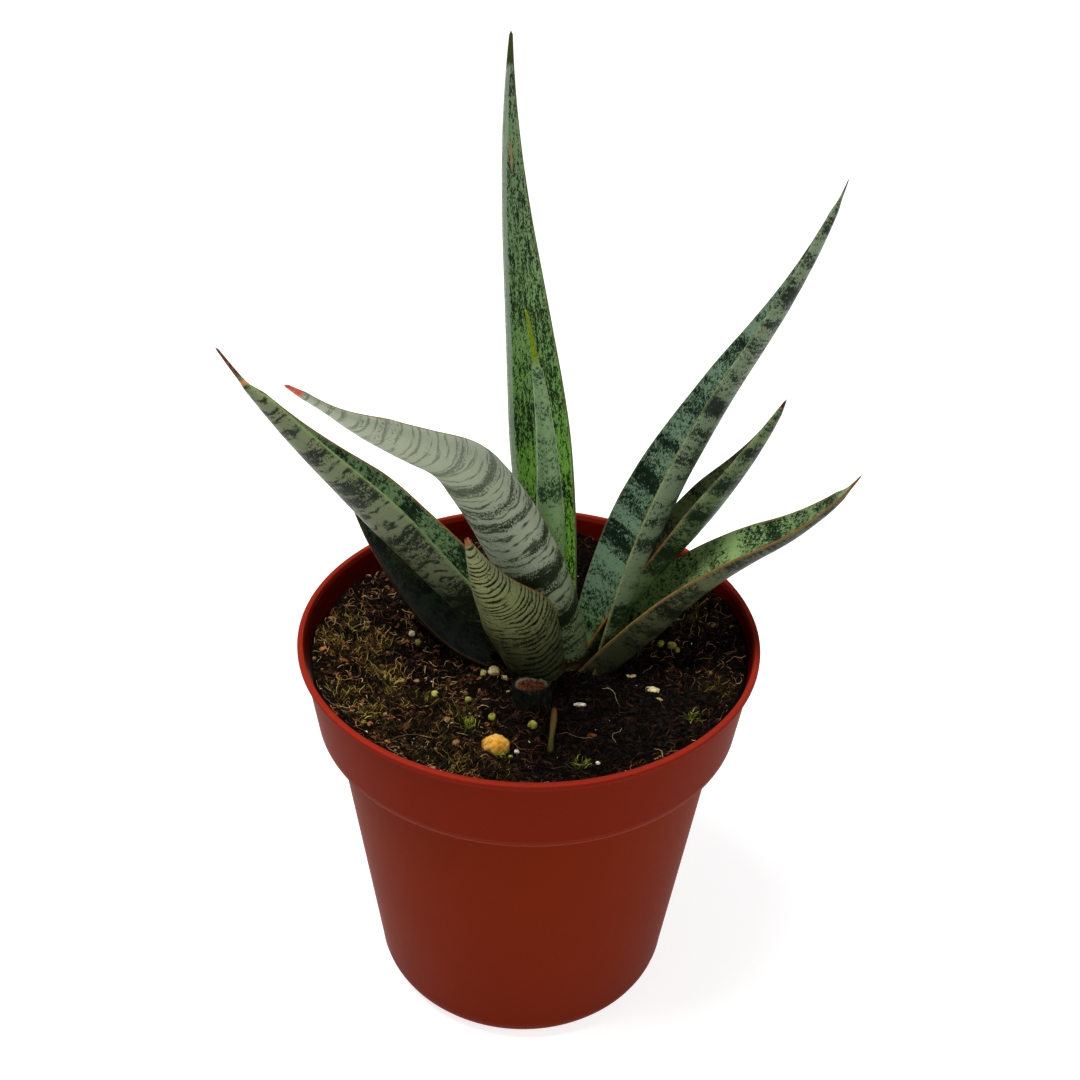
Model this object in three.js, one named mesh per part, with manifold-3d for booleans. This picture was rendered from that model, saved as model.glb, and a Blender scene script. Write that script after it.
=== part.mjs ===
// Potted snake plant: a young rosette of nine cylindrical, channelled leaves
// growing from a short rhizome in a round plastic nursery pot filled with potting mix.
// Millimetres, +Z up. The origin is the middle of the pot's flat underside, +Y runs to the back.

import * as THREE from 'three';
import { mergeVertices } from 'three/addons/utils/BufferGeometryUtils.js';
import Module from 'manifold-3d';

const wasm = await Module();
wasm.setup();

// ---- Driving dimensions: pot ----
const potHeight = 98;
const rimRadius = 52.5;
const lipHeight = 1.3; // the bead round the mouth
const lipOverhang = 1.1; // how far the bead stands out past the collar
const collarHeight = 20.4; // the wide band under the bead, used to lift the pot
const collarTaper = 2.5; // how much narrower the band is at its lower edge
const shoulderStep = 3.8; // step in from the band to the body
const bodyTaper = 8.8; // how much narrower the body is at its foot
const footCorner = 7.2; // radius of the round edge between body and underside
const potWall = 1.1;
const potFloor = 1.6;
const drainHoleRadius = 1.9;
const drainHoleCount = 8;
const drainInset = 5; // from the edge of the flat underside to the middle of a hole
const potSegments = 48;

// ---- Driving dimensions: potting mix ----
const soilDrop = 8; // from the rim down to the mix at the middle
const soilEdgeRise = 5; // how much higher the mix stands against the wall at the front
const soilDip = 3; // how much of that rise is missing at the back left
const soilRipple = 0.6;
const clearance = 0.3; // gap between any two pieces that touch
const sliver = 0.01; // detail finer than this is smoothed away after a cut
const soilRingCount = 7;

// ---- Driving dimensions: plant ----
const leafDepth = 5; // how far a leaf reaches below the middle of the mix
const leafStations = 16;
const leafSectionPoints = 7; // points across one face of a leaf
const leafTipWidth = 1;
const leafTipLength = 0.8;
const marginShare = 0.2; // thickness at the leaf's edge as a share of its middle
const thicknessShare = 0.35; // thickest that a narrow part of a leaf gets, as a share of its width
const crownRadius = 9;
const crownHeight = 13;
const crownCentre = [6.5, -1];
const rootRadius = 1.1;
const rootCount = 6;
const rootWallGap = 6; // from a root's outermost bend to the pot's inner wall
const rootDepth = 46; // from the crown down to a root's end

// One plan for each leaf. Lists run from the root to the tip, evenly spaced.
// lean is degrees from upright, heading degrees round from +X towards +Y, twist turns the
// blade about its own length, fold is the angle that its section bends through.
const leafPlans = {
  leaf_young_centre: {
    root: [4.5, 1], length: 98, lean: [5, 7, 15], heading: [262, 228], twist: [6, 0],
    width: 10.5, baseShare: 0.6, widestAt: 0.38, taper: 1.0, fold: [199, 234], thickness: [3, 2.2, 1],
  },
  leaf_tall_back: {
    root: [6, 4], length: 142, lean: [21, 20, 16, -4], heading: [102, 127], twist: [-7, 7],
    width: 15.5, baseShare: 0.63, widestAt: 0.39, taper: 1.1, fold: [78, 70], thickness: [3, 2.5, 1.2],
  },
  leaf_arching_left: {
    root: [9, -1.5], length: 152, lean: [19, 29, 54, 47], heading: [218, 252, 234], twist: [29, 39],
    width: 21, baseShare: 0.6, widestAt: 0.25, taper: 1.5, fold: [160, 180], thickness: [3, 2.2, 1],
  },
  leaf_tall_right: {
    root: [15.5, 0.5], length: 126, lean: [17, 23, 28, 13], heading: [36, -10], twist: [-12, -12],
    width: 25.5, baseShare: 0.62, widestAt: 0.34, taper: 1.3, fold: [149, 132], thickness: [3, 2.2, 1],
  },
  leaf_wide_left: {
    root: [0.5, -1.5], length: 106, lean: [36, 42, 38, 29], heading: [179, 188], twist: [-1, 27],
    width: 28.5, baseShare: 0.66, widestAt: 0.54, taper: 0.96, fold: [175, 136], thickness: [3, 2.2, 1],
  },
  leaf_mid_right: {
    root: [11.5, 3.5], length: 82, lean: [31, 37, 17], heading: [15, -12], twist: [-6, -18],
    width: 21.5, baseShare: 0.6, widestAt: 0.62, taper: 1.08, fold: [129, 122], thickness: [3, 2.2, 1],
  },
  leaf_short_front: {
    root: [4, -6], length: 83, lean: [20, 41, 32], heading: [244, 255], twist: [39, 39],
    width: 19, baseShare: 0.71, widestAt: 0.36, taper: 0.87, fold: [114, 150], thickness: [3, 2.2, 1],
  },
  leaf_low_right: {
    root: [14.5, -1], length: 82.5, lean: [47, 36, 50, 26], heading: [3, -26], twist: [-17, 12],
    width: 26.5, baseShare: 0.57, widestAt: 0.32, taper: 1.06, fold: [163, 101], thickness: [3, 2.2, 1],
  },
  leaf_low_left: {
    root: [-1.5, 2.2], length: 56.5, lean: [78, 44, 36], heading: [177, 142], twist: [-1, 7],
    width: 19, baseShare: 0.6, widestAt: 0.3, taper: 0.8, fold: [110, 70], thickness: [3, 2.2, 1],
  },
};

// ---- Driving dimensions: what lies on the mix ----
const stubPlan = {
  at: [1.2, -16.6], width: 9.5, depth: 6, stands: 4.8, buried: 4, tear: 0.4, taper: 0.14,
  leanX: -0.9, leanY: 1.2,
};
const stalkPlan = { from: [5, -35.5], to: [6.4, -21.5], radius: 0.75, rise: 0.8 };
// A grain lies at a place measured from the pot's axis, or at a bearing and a distance from the wall.
const grainPlans = [
  { name: 'tan_pebble', at: [-6.6, -33.6], size: [3.1, 2.6, 2.4], seed: 3 },
  { name: 'pale_stone', at: [27.9, -11.8], size: [1.9, 1.2, 0.9], seed: 5 },
  { name: 'perlite_1', at: [-27.6, 7.4], size: [0.8, 0.8, 0.9], seed: 7 },
  { name: 'perlite_2', at: [-2.0, -34.8], size: [0.6, 0.5, 0.6], seed: 11 },
  { name: 'perlite_3', bearing: -89, fromWall: 9.2, size: [0.55, 0.5, 0.5], seed: 13 },
  { name: 'perlite_4', bearing: -69, fromWall: 8.1, size: [0.6, 0.5, 0.5], seed: 17 },
  { name: 'perlite_5', at: [11.6, -16.6], size: [1.6, 0.7, 0.5], seed: 19 },
  { name: 'perlite_6', at: [-7.9, -6.6], size: [1.5, 1.3, 1.3], seed: 23 },
  { name: 'feed_pellet_1', at: [1.2, -25.2], size: [1.3, 1.3, 1.2], seed: 0 },
  { name: 'feed_pellet_2', at: [-7.7, -22.1], size: [1.0, 1.0, 0.9], seed: 0 },
  { name: 'feed_pellet_3', at: [-13.2, -16.7], size: [0.9, 0.9, 0.8], seed: 0 },
  { name: 'feed_pellet_4', at: [-20.6, -15.1], size: [1.1, 1.0, 0.9], seed: 0 },
  { name: 'feed_pellet_5', at: [-25.9, 4.2], size: [0.9, 1.0, 0.9], seed: 0 },
  { name: 'feed_pellet_6', bearing: 6, fromWall: 16.6, size: [1.3, 1.2, 1.1], seed: 0 },
];
const grainSink = 0.45; // share of a grain's height that lies in the mix
const grainRoughness = 0.12;
const coarseGrain = 2.5; // a grain wider than this gets a finer surface

// ---- Materials ----
const finish = (color, roughness) => new THREE.MeshStandardMaterial({ color, roughness, metalness: 0 });
const finishes = {
  pot: () => finish(0x8a3222, 0.45),
  soil: () => finish(0x1c140c, 0.95),
  leaf: () => finish(0x6f8868, 0.5),
  young: () => finish(0x8aa04a, 0.45),
  crown: () => finish(0xb98a55, 0.8),
  stub: () => finish(0x55604a, 0.7),
  stalk: () => finish(0x7a7440, 0.75),
  pebble: () => finish(0xd0a85e, 0.8),
  perlite: () => finish(0xe6e2d6, 0.85),
  pellet: () => finish(0xa7ab5c, 0.45),
};

// ---- Solids ----

// Turns a closed geometry into a solid that can be joined and cut.
function toSolid(geometry) {
  const bare = geometry.clone();
  bare.deleteAttribute('normal');
  bare.deleteAttribute('uv');
  const merged = mergeVertices(bare, 1e-4);
  return new wasm.Manifold(new wasm.Mesh({
    numProp: 3,
    vertProperties: new Float32Array(merged.attributes.position.array),
    triVerts: new Uint32Array(merged.index.array),
  }));
}

function toGeometry(solid) {
  const mesh = solid.getMesh();
  const geometry = new THREE.BufferGeometry();
  geometry.setAttribute('position', new THREE.BufferAttribute(mesh.vertProperties, 3));
  geometry.setIndex(new THREE.BufferAttribute(mesh.triVerts, 1));
  geometry.computeVertexNormals();
  return geometry;
}

// The biggest piece of a solid, without the crumbs and slivers that a cut leaves.
function biggestPiece(solid) {
  const pieces = solid.simplify(sliver).decompose();
  return pieces.reduce((best, piece) => (piece.volume() > best.volume() ? piece : best));
}

// A closed skin over a row of rings with equal numbers of points. The last ring closes on the end
// point. The first closes on the start point, or without one by a strip between its two halves.
function skin(start, rings, end) {
  const count = rings[0].length;
  const ringPoints = rings.flat();
  const points = start ? [...ringPoints, end, start] : [...ringPoints, end];
  const endIndex = ringPoints.length;
  const startIndex = endIndex + 1;
  const faces = [];
  for (let i = 0; i < count; i += 1) {
    const next = (i + 1) % count;
    for (let r = 0; r + 1 < rings.length; r += 1) {
      const low = r * count;
      const high = low + count;
      faces.push(low + i, low + next, high + next);
      faces.push(low + i, high + next, high + i);
    }
    faces.push(endIndex, endIndex - count + i, endIndex - count + next);
    if (start) {
      faces.push(startIndex, next, i);
    } else if (i + 1 < count / 2) {
      const across = count - 1 - i;
      faces.push(i, across, i + 1);
      faces.push(i + 1, across, across - 1);
    }
  }
  const geometry = new THREE.BufferGeometry();
  geometry.setAttribute('position', new THREE.BufferAttribute(
    new Float32Array(points.flatMap((point) => point.toArray())), 3));
  geometry.setIndex(faces);
  return geometry;
}

// A six-sided rod along a path.
function rod(path, radius, steps) {
  const sides = 6;
  const section = new THREE.Shape(new THREE.EllipseCurve(0, 0, radius, radius)
    .getPoints(sides).slice(0, sides));
  return toSolid(new THREE.ExtrudeGeometry(section, { steps, extrudePath: path }));
}

function mesh(name, geometry, material) {
  const result = new THREE.Mesh(geometry, material);
  result.name = name;
  return result;
}

// ---- Pot ----

const collarTopRadius = rimRadius - lipOverhang;
const collarFootRadius = collarTopRadius - collarTaper;
const bodyTopRadius = collarFootRadius - shoulderStep;
const footRadius = bodyTopRadius - bodyTaper;
const flatRadius = footRadius - footCorner;
const lipFoot = potHeight - lipHeight;
const collarFoot = potHeight - collarHeight;
const shoulderDrop = potWall; // the shoulder slopes down by one wall as it steps in

// Outside of the pot from the middle of the underside to the top of the bead, as [radius, height].
function potOutside() {
  const corner = [0, 0.25, 0.5, 0.75, 1].map((share) => {
    const angle = (share * Math.PI) / 2;
    return [flatRadius + footCorner * Math.sin(angle), footCorner * (1 - Math.cos(angle))];
  });
  return [
    [0, 0],
    ...corner,
    [bodyTopRadius, collarFoot - shoulderDrop],
    [collarFootRadius, collarFoot],
    [collarTopRadius, lipFoot],
    [rimRadius, lipFoot + 0.3 * lipHeight],
    [rimRadius, lipFoot + 0.8 * lipHeight],
    [rimRadius - 0.3 * lipOverhang, potHeight],
  ];
}

// Inside of the pot, the same way up, pushed inward by one wall and, for the mix, by a gap.
function potInside(gap) {
  const inset = potWall + gap;
  const floor = potFloor + gap;
  const radius = footCorner - potWall;
  const corner = [0, 0.33, 0.67, 1].map((share) => {
    const angle = (share * Math.PI) / 2;
    return [footRadius - inset - radius * (1 - Math.sin(angle)), floor + radius * (1 - Math.cos(angle))];
  });
  return [
    ...corner,
    [bodyTopRadius - inset, collarFoot - shoulderDrop + gap],
    [collarFootRadius - inset, collarFoot + gap],
    [collarTopRadius - inset, potHeight],
  ];
}

function potSolid() {
  const outside = potOutside();
  const inside = potInside(0).reverse();
  const profile = [...outside, ...inside, [0, potFloor]].map(([r, z]) => new THREE.Vector2(r, z));
  const shell = new THREE.LatheGeometry(profile, potSegments).rotateX(Math.PI / 2);
  const drains = Array.from({ length: drainHoleCount }, (_, i) => {
    const angle = (2 * Math.PI * i) / drainHoleCount;
    const reach = flatRadius - drainInset;
    return toSolid(new THREE.CylinderGeometry(drainHoleRadius, drainHoleRadius, 4 * potFloor, 12)
      .rotateX(Math.PI / 2)
      .translate(reach * Math.cos(angle), reach * Math.sin(angle), potFloor));
  });
  return drains.reduce((pot, drain) => pot.subtract(drain), toSolid(shell));
}

// ---- Potting mix ----

const soilLevel = potHeight - soilDrop;
const soilEdgeRadius = collarTopRadius - potWall - clearance;

// Height of the mix: level in the middle, drawn up against the wall, least at the back left.
function soilHeight(x, y) {
  const reach = Math.min(1, Math.hypot(x, y) / soilEdgeRadius);
  const backLeft = Math.max(0, Math.cos(Math.atan2(y, x) - (130 * Math.PI) / 180));
  const rise = (soilEdgeRise - soilDip * backLeft) * reach ** 3;
  const ripple = Math.sin(x / 4.1 + 0.7) * Math.cos(y / 3.7 - 0.4) + 0.6 * Math.sin((x + y) / 2.9);
  return soilLevel + rise + soilRipple * ripple * (1 - 0.5 * reach);
}

// Rings from the middle of the bottom, up the wall and in over the top.
function soilSkin() {
  const wall = potInside(clearance).slice(0, -1);
  const [footR, footZ] = wall[wall.length - 1];
  const slope = (soilEdgeRadius - footR) / (potHeight - footZ);
  const angles = Array.from({ length: potSegments }, (_, i) => (2 * Math.PI * i) / potSegments);
  const at = (angle, r, z) => new THREE.Vector3(r * Math.cos(angle), r * Math.sin(angle), z);
  const rings = wall.map(([r, z]) => angles.map((angle) => at(angle, r, z)));
  for (let k = soilRingCount; k >= 1; k -= 1) {
    rings.push(angles.map((angle) => {
      const share = k / soilRingCount;
      const guess = soilHeight(soilEdgeRadius * Math.cos(angle), soilEdgeRadius * Math.sin(angle));
      const reach = share * (footR + slope * (guess - footZ));
      return at(angle, reach, soilHeight(reach * Math.cos(angle), reach * Math.sin(angle)));
    }));
  }
  return skin(new THREE.Vector3(0, 0, wall[0][1]), rings, new THREE.Vector3(0, 0, soilHeight(0, 0)));
}

// ---- Leaves ----

// Value of an evenly spaced list at a share t of its length.
function along(list, t) {
  const place = Math.min(1, Math.max(0, t)) * (list.length - 1);
  const index = Math.min(list.length - 2, Math.floor(place));
  return THREE.MathUtils.lerp(list[index], list[index + 1], place - index);
}

// Direction of growth and the two directions across the blade at a share t of its length.
function leafFrame(plan, t) {
  const lean = THREE.MathUtils.degToRad(along(plan.lean, t));
  const heading = THREE.MathUtils.degToRad(along(plan.heading, t));
  const twist = THREE.MathUtils.degToRad(along(plan.twist, t));
  const forward = new THREE.Vector3(
    Math.sin(lean) * Math.cos(heading), Math.sin(lean) * Math.sin(heading), Math.cos(lean));
  const flat = new THREE.Vector3(-Math.sin(heading), Math.cos(heading), 0);
  const face = new THREE.Vector3().crossVectors(forward, flat);
  const side = flat.clone().applyAxisAngle(forward, twist);
  const up = face.applyAxisAngle(forward, twist);
  return { forward, side, up };
}

// Width of a leaf: it swells from the root to its widest place, then tapers to the tip.
function leafWidth(plan, t) {
  const full = plan.width - leafTipWidth;
  if (t < plan.widestAt) {
    const swell = Math.sin(((t / plan.widestAt) * Math.PI) / 2);
    return leafTipWidth + full * (plan.baseShare + (1 - plan.baseShare) * swell);
  }
  return leafTipWidth + full * (1 - ((t - plan.widestAt) / (1 - plan.widestAt)) ** plan.taper);
}

// One closed ring round a leaf. The section is an arc, thick in the middle and thin at the edges.
function leafRing(plan, t, origin, frame, grow) {
  const width = leafWidth(plan, t);
  const fold = THREE.MathUtils.degToRad(along(plan.fold, t));
  const bend = width / fold;
  const middle = Math.min(along(plan.thickness, t), thicknessShare * width);
  const face = (share, side) => {
    const angle = share * (fold / 2 + grow / bend);
    const outward = Math.min(1, Math.abs(2 * angle) / fold);
    const half = side * ((middle * (1 - (1 - marginShare) * outward ** 2.2)) / 2 + grow);
    return origin.clone()
      .addScaledVector(frame.side, (bend - half) * Math.sin(angle))
      .addScaledVector(frame.up, bend * (1 - Math.cos(angle)) + half * Math.cos(angle));
  };
  const last = leafSectionPoints - 1;
  const shares = Array.from({ length: leafSectionPoints }, (_, i) => (2 * i) / last - 1);
  const upper = shares.map((share) => face(share, 1));
  const lower = shares.map((share) => face(-share, -1));
  return [...upper, ...lower].reverse();
}

// A whole leaf as a solid, thicker and longer all round by grow.
function leafSolid(plan, grow) {
  const substeps = 4;
  const step = plan.length / (leafStations * substeps);
  const origin = new THREE.Vector3(...plan.root, soilLevel - leafDepth);
  const rings = [];
  const start = leafFrame(plan, 0);
  const foot = origin.clone().addScaledVector(start.forward, -grow);
  rings.push(leafRing(plan, 0, foot, start, grow));
  for (let i = 1; i <= leafStations; i += 1) {
    for (let k = 0; k < substeps; k += 1) {
      const middle = ((i - 1) * substeps + k + 0.5) / (leafStations * substeps);
      origin.addScaledVector(leafFrame(plan, middle).forward, step);
    }
    rings.push(leafRing(plan, i / leafStations, origin, leafFrame(plan, i / leafStations), grow));
  }
  const end = leafFrame(plan, 1).forward;
  const tip = origin.clone().addScaledVector(end, leafTipLength + grow);
  return toSolid(skin(null, rings, tip));
}

// ---- Rhizome with its roots ----

function crownSolid(grow) {
  const [x, y] = crownCentre;
  const top = soilLevel - leafDepth;
  const radius = crownRadius + grow;
  const half = crownHeight / 2 + grow;
  const crown = toSolid(new THREE.SphereGeometry(1, 14, 8)
    .scale(radius, radius, half)
    .translate(x, y, top - crownHeight / 2));
  const spread = bodyTopRadius - bodyTaper - potWall - rootWallGap;
  const roots = Array.from({ length: rootCount }, (_, i) => {
    const angle = (2 * Math.PI * (i + 0.3)) / rootCount;
    const bend = (reach, turn, drop) => new THREE.Vector3(
      x * (1 - reach) + spread * reach * Math.cos(angle + turn),
      y * (1 - reach) + spread * reach * Math.sin(angle + turn),
      top - crownHeight * 0.6 - drop);
    const path = new THREE.CatmullRomCurve3([
      bend(0.05, 0, 0), bend(0.55, 0.1, rootDepth * 0.2), bend(0.9, 0.4, rootDepth * 0.6),
      bend(0.95, 0.8, rootDepth)]);
    return rod(path, rootRadius + grow, 7);
  });
  return roots.reduce((whole, root) => whole.add(root), crown);
}

// ---- What lies on the mix ----

// Round stub of a leaf that was cut off, its cut face slightly tilted.
function stubSolid(grow) {
  const [x, y] = stubPlan.at;
  const foot = soilHeight(x, y) - stubPlan.buried;
  const height = stubPlan.buried + stubPlan.stands;
  const ring = (share) => Array.from({ length: 16 }, (_, i) => {
    const angle = (2 * Math.PI * i) / 16;
    const narrow = 1 - stubPlan.taper * share;
    return new THREE.Vector3(
      x + share * stubPlan.leanX + (stubPlan.width / 2 + grow) * narrow * Math.cos(angle),
      y + share * stubPlan.leanY + (stubPlan.depth / 2 + grow) * narrow * Math.sin(angle),
      foot - grow + share * (height + 2 * grow) + share * stubPlan.tear * Math.cos(angle * 2));
  });
  const rings = [ring(0), ring(0.5), ring(1)];
  const middle = (points) => points.reduce((sum, p) => sum.add(p), new THREE.Vector3())
    .divideScalar(points.length);
  return toSolid(skin(middle(rings[0]), rings, middle(rings[2])));
}

// Thin dry flower stalk lying on the mix.
function stalkSolid(grow) {
  const lift = stalkPlan.radius + clearance;
  const at = (share) => {
    const x = THREE.MathUtils.lerp(stalkPlan.from[0], stalkPlan.to[0], share);
    const y = THREE.MathUtils.lerp(stalkPlan.from[1], stalkPlan.to[1], share);
    const z = soilHeight(x, y) + lift + stalkPlan.rise * share;
    return new THREE.Vector3(x + 0.5 * Math.sin(share * 5), y, z);
  };
  const ends = grow / Math.hypot(stalkPlan.to[0] - stalkPlan.from[0], stalkPlan.to[1] - stalkPlan.from[1]);
  const path = new THREE.CatmullRomCurve3([at(-ends), at(0.33), at(0.67), at(1 + ends)]);
  return rod(path, stalkPlan.radius + grow, 6);
}

// Place on the mix at a bearing and a distance in from the wall.
function fromWall(plan) {
  const bearing = THREE.MathUtils.degToRad(plan.bearing);
  const reach = soilEdgeRadius - plan.fromWall;
  return [reach * Math.cos(bearing), reach * Math.sin(bearing)];
}

// A grain of stone, perlite or plant feed, lumpy where seed isn't 0.
function grainSolid(plan, grow) {
  const detail = plan.size[0] > coarseGrain ? 1 : 0;
  const geometry = new THREE.IcosahedronGeometry(1, detail);
  const place = geometry.attributes.position;
  const [x, y] = plan.at ?? fromWall(plan);
  const z = soilHeight(x, y) + plan.size[2] * (1 - 2 * grainSink);
  for (let i = 0; i < place.count; i += 1) {
    const point = new THREE.Vector3().fromBufferAttribute(place, i);
    const lump = plan.seed === 0 ? 1 : 1 + grainRoughness * Math.sin(
      plan.seed * (point.x + 2 * point.y) + 3 * point.z * plan.seed);
    place.setXYZ(i,
      x + point.x * (plan.size[0] * lump + grow),
      y + point.y * (plan.size[1] * lump + grow),
      z + point.z * (plan.size[2] * lump + grow));
  }
  return toSolid(geometry);
}

// ---- Assembly ----

const group = new THREE.Group();
group.name = 'potted_snake_plant';
group.add(mesh('nursery_pot', toGeometry(potSolid()), finishes.pot()));

// Each leaf is clasped by the ones after it, so each gives way to those before it.
const leafNames = Object.keys(leafPlans);
const grownLeaves = leafNames.map((name) => leafSolid(leafPlans[name], clearance));
const leafSolids = leafNames.map((name, i) => biggestPiece(
  grownLeaves.slice(0, i).reduce((leaf, inner) => leaf.subtract(inner), leafSolid(leafPlans[name], 0))));

const crown = biggestPiece(grownLeaves.reduce((rest, leaf) => rest.subtract(leaf), crownSolid(0)));
const looseSolids = grainPlans.map((plan) => grainSolid(plan, 0));

const pressed = [
  crownSolid(clearance),
  stubSolid(clearance),
  stalkSolid(clearance),
  ...grownLeaves,
  ...grainPlans.map((plan) => grainSolid(plan, clearance)),
];
const soil = biggestPiece(pressed.reduce((rest, piece) => rest.subtract(piece), toSolid(soilSkin())));
group.add(mesh('potting_mix', toGeometry(soil), finishes.soil()));
group.add(mesh('rhizome_and_roots', toGeometry(crown), finishes.crown()));

leafNames.forEach((name, i) => {
  const material = name === 'leaf_young_centre' ? finishes.young() : finishes.leaf();
  group.add(mesh(name, toGeometry(leafSolids[i]), material));
});

group.add(mesh('old_leaf_stub', toGeometry(stubSolid(0)), finishes.stub()));
group.add(mesh('dry_stalk', toGeometry(stalkSolid(0)), finishes.stalk()));
grainPlans.forEach((plan, i) => {
  const kind = plan.name.startsWith('feed') ? 'pellet' : plan.name.startsWith('tan') ? 'pebble' : 'perlite';
  group.add(mesh(plan.name, toGeometry(looseSolids[i]), finishes[kind]()));
});

export default group;
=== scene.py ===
"""Looks of a potted snake plant: nine channelled leaves, potting mix and a plastic nursery pot.

Lengths are millimetres in the CAD model's frame, with +Z up, and angles are degrees, unless a
docstring says otherwise. Display colours are three numbers from 0 to 255.
"""
import logging
import math
from dataclasses import dataclass, field
from enum import Enum
from typing import Any

import bpy
import numpy as np
from mathutils import Matrix, Vector


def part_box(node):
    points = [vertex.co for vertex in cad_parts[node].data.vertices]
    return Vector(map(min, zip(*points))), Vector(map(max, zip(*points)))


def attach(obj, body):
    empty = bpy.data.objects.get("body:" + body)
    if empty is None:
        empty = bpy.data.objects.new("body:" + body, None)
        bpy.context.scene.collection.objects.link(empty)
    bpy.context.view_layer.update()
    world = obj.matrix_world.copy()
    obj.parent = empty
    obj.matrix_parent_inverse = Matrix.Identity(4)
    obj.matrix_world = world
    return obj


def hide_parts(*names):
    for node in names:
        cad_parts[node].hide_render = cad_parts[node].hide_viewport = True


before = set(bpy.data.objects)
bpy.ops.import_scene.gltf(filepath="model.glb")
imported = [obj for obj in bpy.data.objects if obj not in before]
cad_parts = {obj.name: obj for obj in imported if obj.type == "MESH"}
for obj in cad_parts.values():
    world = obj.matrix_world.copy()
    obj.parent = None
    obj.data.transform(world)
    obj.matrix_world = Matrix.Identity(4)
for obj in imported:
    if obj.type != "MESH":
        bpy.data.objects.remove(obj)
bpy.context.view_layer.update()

BODY = "root"
MM = 0.001
FULL_TURN = 2.0 * math.pi
UP = (0.0, 0.0, 1.0)
TINY = 1e-9
WHITE = (1.0, 1.0, 1.0, 1.0)
log = logging.getLogger("snake_plant")

Rgb = tuple[int, int, int]
Colour = tuple[float, float, float, float]
Span = tuple[float, float]
Stops = tuple[tuple[float, Any], ...]


# ---------------------------------------------------------------- numbers and noise

HASH_STEPS = np.array([374761393, 668265263, 2147483647])
HASH_SEED = 974711
HASH_MIX = 1274126177


def linear(colour: Any) -> Any:
    """Turns a display colour into the linear colour that a shader takes.

    Args:
        colour: A display colour, or a linear colour or a socket, which stay as they are.

    Returns:
        Linear red, green and blue with full alpha, or what was given.
    """
    if not isinstance(colour, tuple) or len(colour) != 3:
        return colour
    share = np.array(colour) / 255.0
    light = np.where(share <= 0.04045, share / 12.92, ((share + 0.055) / 1.055) ** 2.4)
    return (*(float(channel) for channel in light), 1.0)


def fade(low: float, high: float, values: np.ndarray) -> np.ndarray:
    """Rises smoothly from 0 at low to 1 at high, as 3x^2 - 2x^3."""
    x = np.clip((values - low) / (high - low), 0.0, 1.0)
    return x * x * (3.0 - 2.0 * x)


def along(stops: tuple[float, ...], t: np.ndarray) -> np.ndarray:
    """Reads an evenly spaced list at shares t of its length, in straight lines between stops."""
    return np.interp(t * (len(stops) - 1), np.arange(len(stops)), np.array(stops, float))


def circle(count: int) -> np.ndarray:
    """Even angles round a circle, in radians."""
    return np.linspace(0.0, FULL_TURN, count, endpoint=False)


def around(reach: Any, angle: np.ndarray, height: Any) -> np.ndarray:
    """Points at distances from the axis, angles round it in radians, and heights."""
    return np.stack(np.broadcast_arrays(reach * np.cos(angle), reach * np.sin(angle), height), -1)


def cad_box(node: str) -> tuple[np.ndarray, np.ndarray]:
    """Lowest and highest corner of a CAD node, in millimetres."""
    low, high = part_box(node)
    return np.array(low) / MM, np.array(high) / MM


def lattice_noise(points: np.ndarray, seed: int) -> np.ndarray:
    """Smooth noise: random values on a unit lattice, blended across each cell by a cubic fade.

    Args:
        points: Places of shape (..., 3), in cells.
        seed: Picks the random values.

    Returns:
        Values from -1 to 1 of shape (...).
    """
    cell = np.floor(points).astype(np.int64)
    inside = points - cell
    blend = inside * inside * (3.0 - 2.0 * inside)
    total = np.zeros(points.shape[:-1])
    for corner in np.ndindex(2, 2, 2):
        offset = np.array(corner)
        mixed = ((cell + offset) * HASH_STEPS).sum(-1) + seed * HASH_SEED
        mixed = (mixed ^ (mixed >> 13)) * HASH_MIX
        value = ((mixed ^ (mixed >> 16)) & 0xFFFF) / 32767.5 - 1.0
        total += value * np.prod(np.where(offset == 1, blend, 1.0 - blend), axis=-1)
    return total


def layered_noise(points: np.ndarray, seed: int, layers: int = 3) -> np.ndarray:
    """Sums noise of halving size and strength, which gives values of about -1 to 1."""
    return sum(lattice_noise(points * 2.0**k, seed + k) / 2.0**k for k in range(layers)) / 1.6


# ---------------------------------------------------------------- meshes


def make_piece(
    name: str, points: np.ndarray, faces: list[np.ndarray], finish: bpy.types.Material,
    marks: dict[str, np.ndarray] | None = None, smooth: bool = True,
) -> bpy.types.Object:
    """Makes an object from arrays. It sits at the origin, with its place in its mesh.

    Args:
        name: The piece's name.
        points: Places of shape (..., 3).
        faces: Arrays of corner numbers, one array for each count of corners.
        finish: The piece's material.
        marks: Numbers at each point that the finish reads by name.
        smooth: Whether the faces shade as one surface.

    Returns:
        The new object, riding on the part's one body.
    """
    mesh = bpy.data.meshes.new(name)
    points = points.reshape(-1, 3)
    loops = np.concatenate([block.ravel() for block in faces]).astype(np.int32)
    sizes = np.concatenate([np.full(len(block), block.shape[1]) for block in faces])
    starts = np.concatenate([[0], np.cumsum(sizes)[:-1]])
    mesh.vertices.add(len(points))
    mesh.vertices.foreach_set("co", (points * MM).astype(np.float32).ravel())
    mesh.loops.add(len(loops))
    mesh.loops.foreach_set("vertex_index", loops)
    mesh.polygons.add(len(sizes))
    mesh.polygons.foreach_set("loop_start", starts.astype(np.int32))
    mesh.polygons.foreach_set("use_smooth", np.full(len(sizes), smooth))
    for mark, values in (marks or {}).items():
        layer = mesh.attributes.new(mark, "FLOAT", "POINT")
        layer.data.foreach_set("value", values.astype(np.float32).ravel())
    mesh.update(calc_edges=True)
    mesh.validate()
    mesh.materials.append(finish)
    piece = bpy.data.objects.new(name, mesh)
    bpy.context.scene.collection.objects.link(piece)
    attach(piece, BODY)
    return piece


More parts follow.
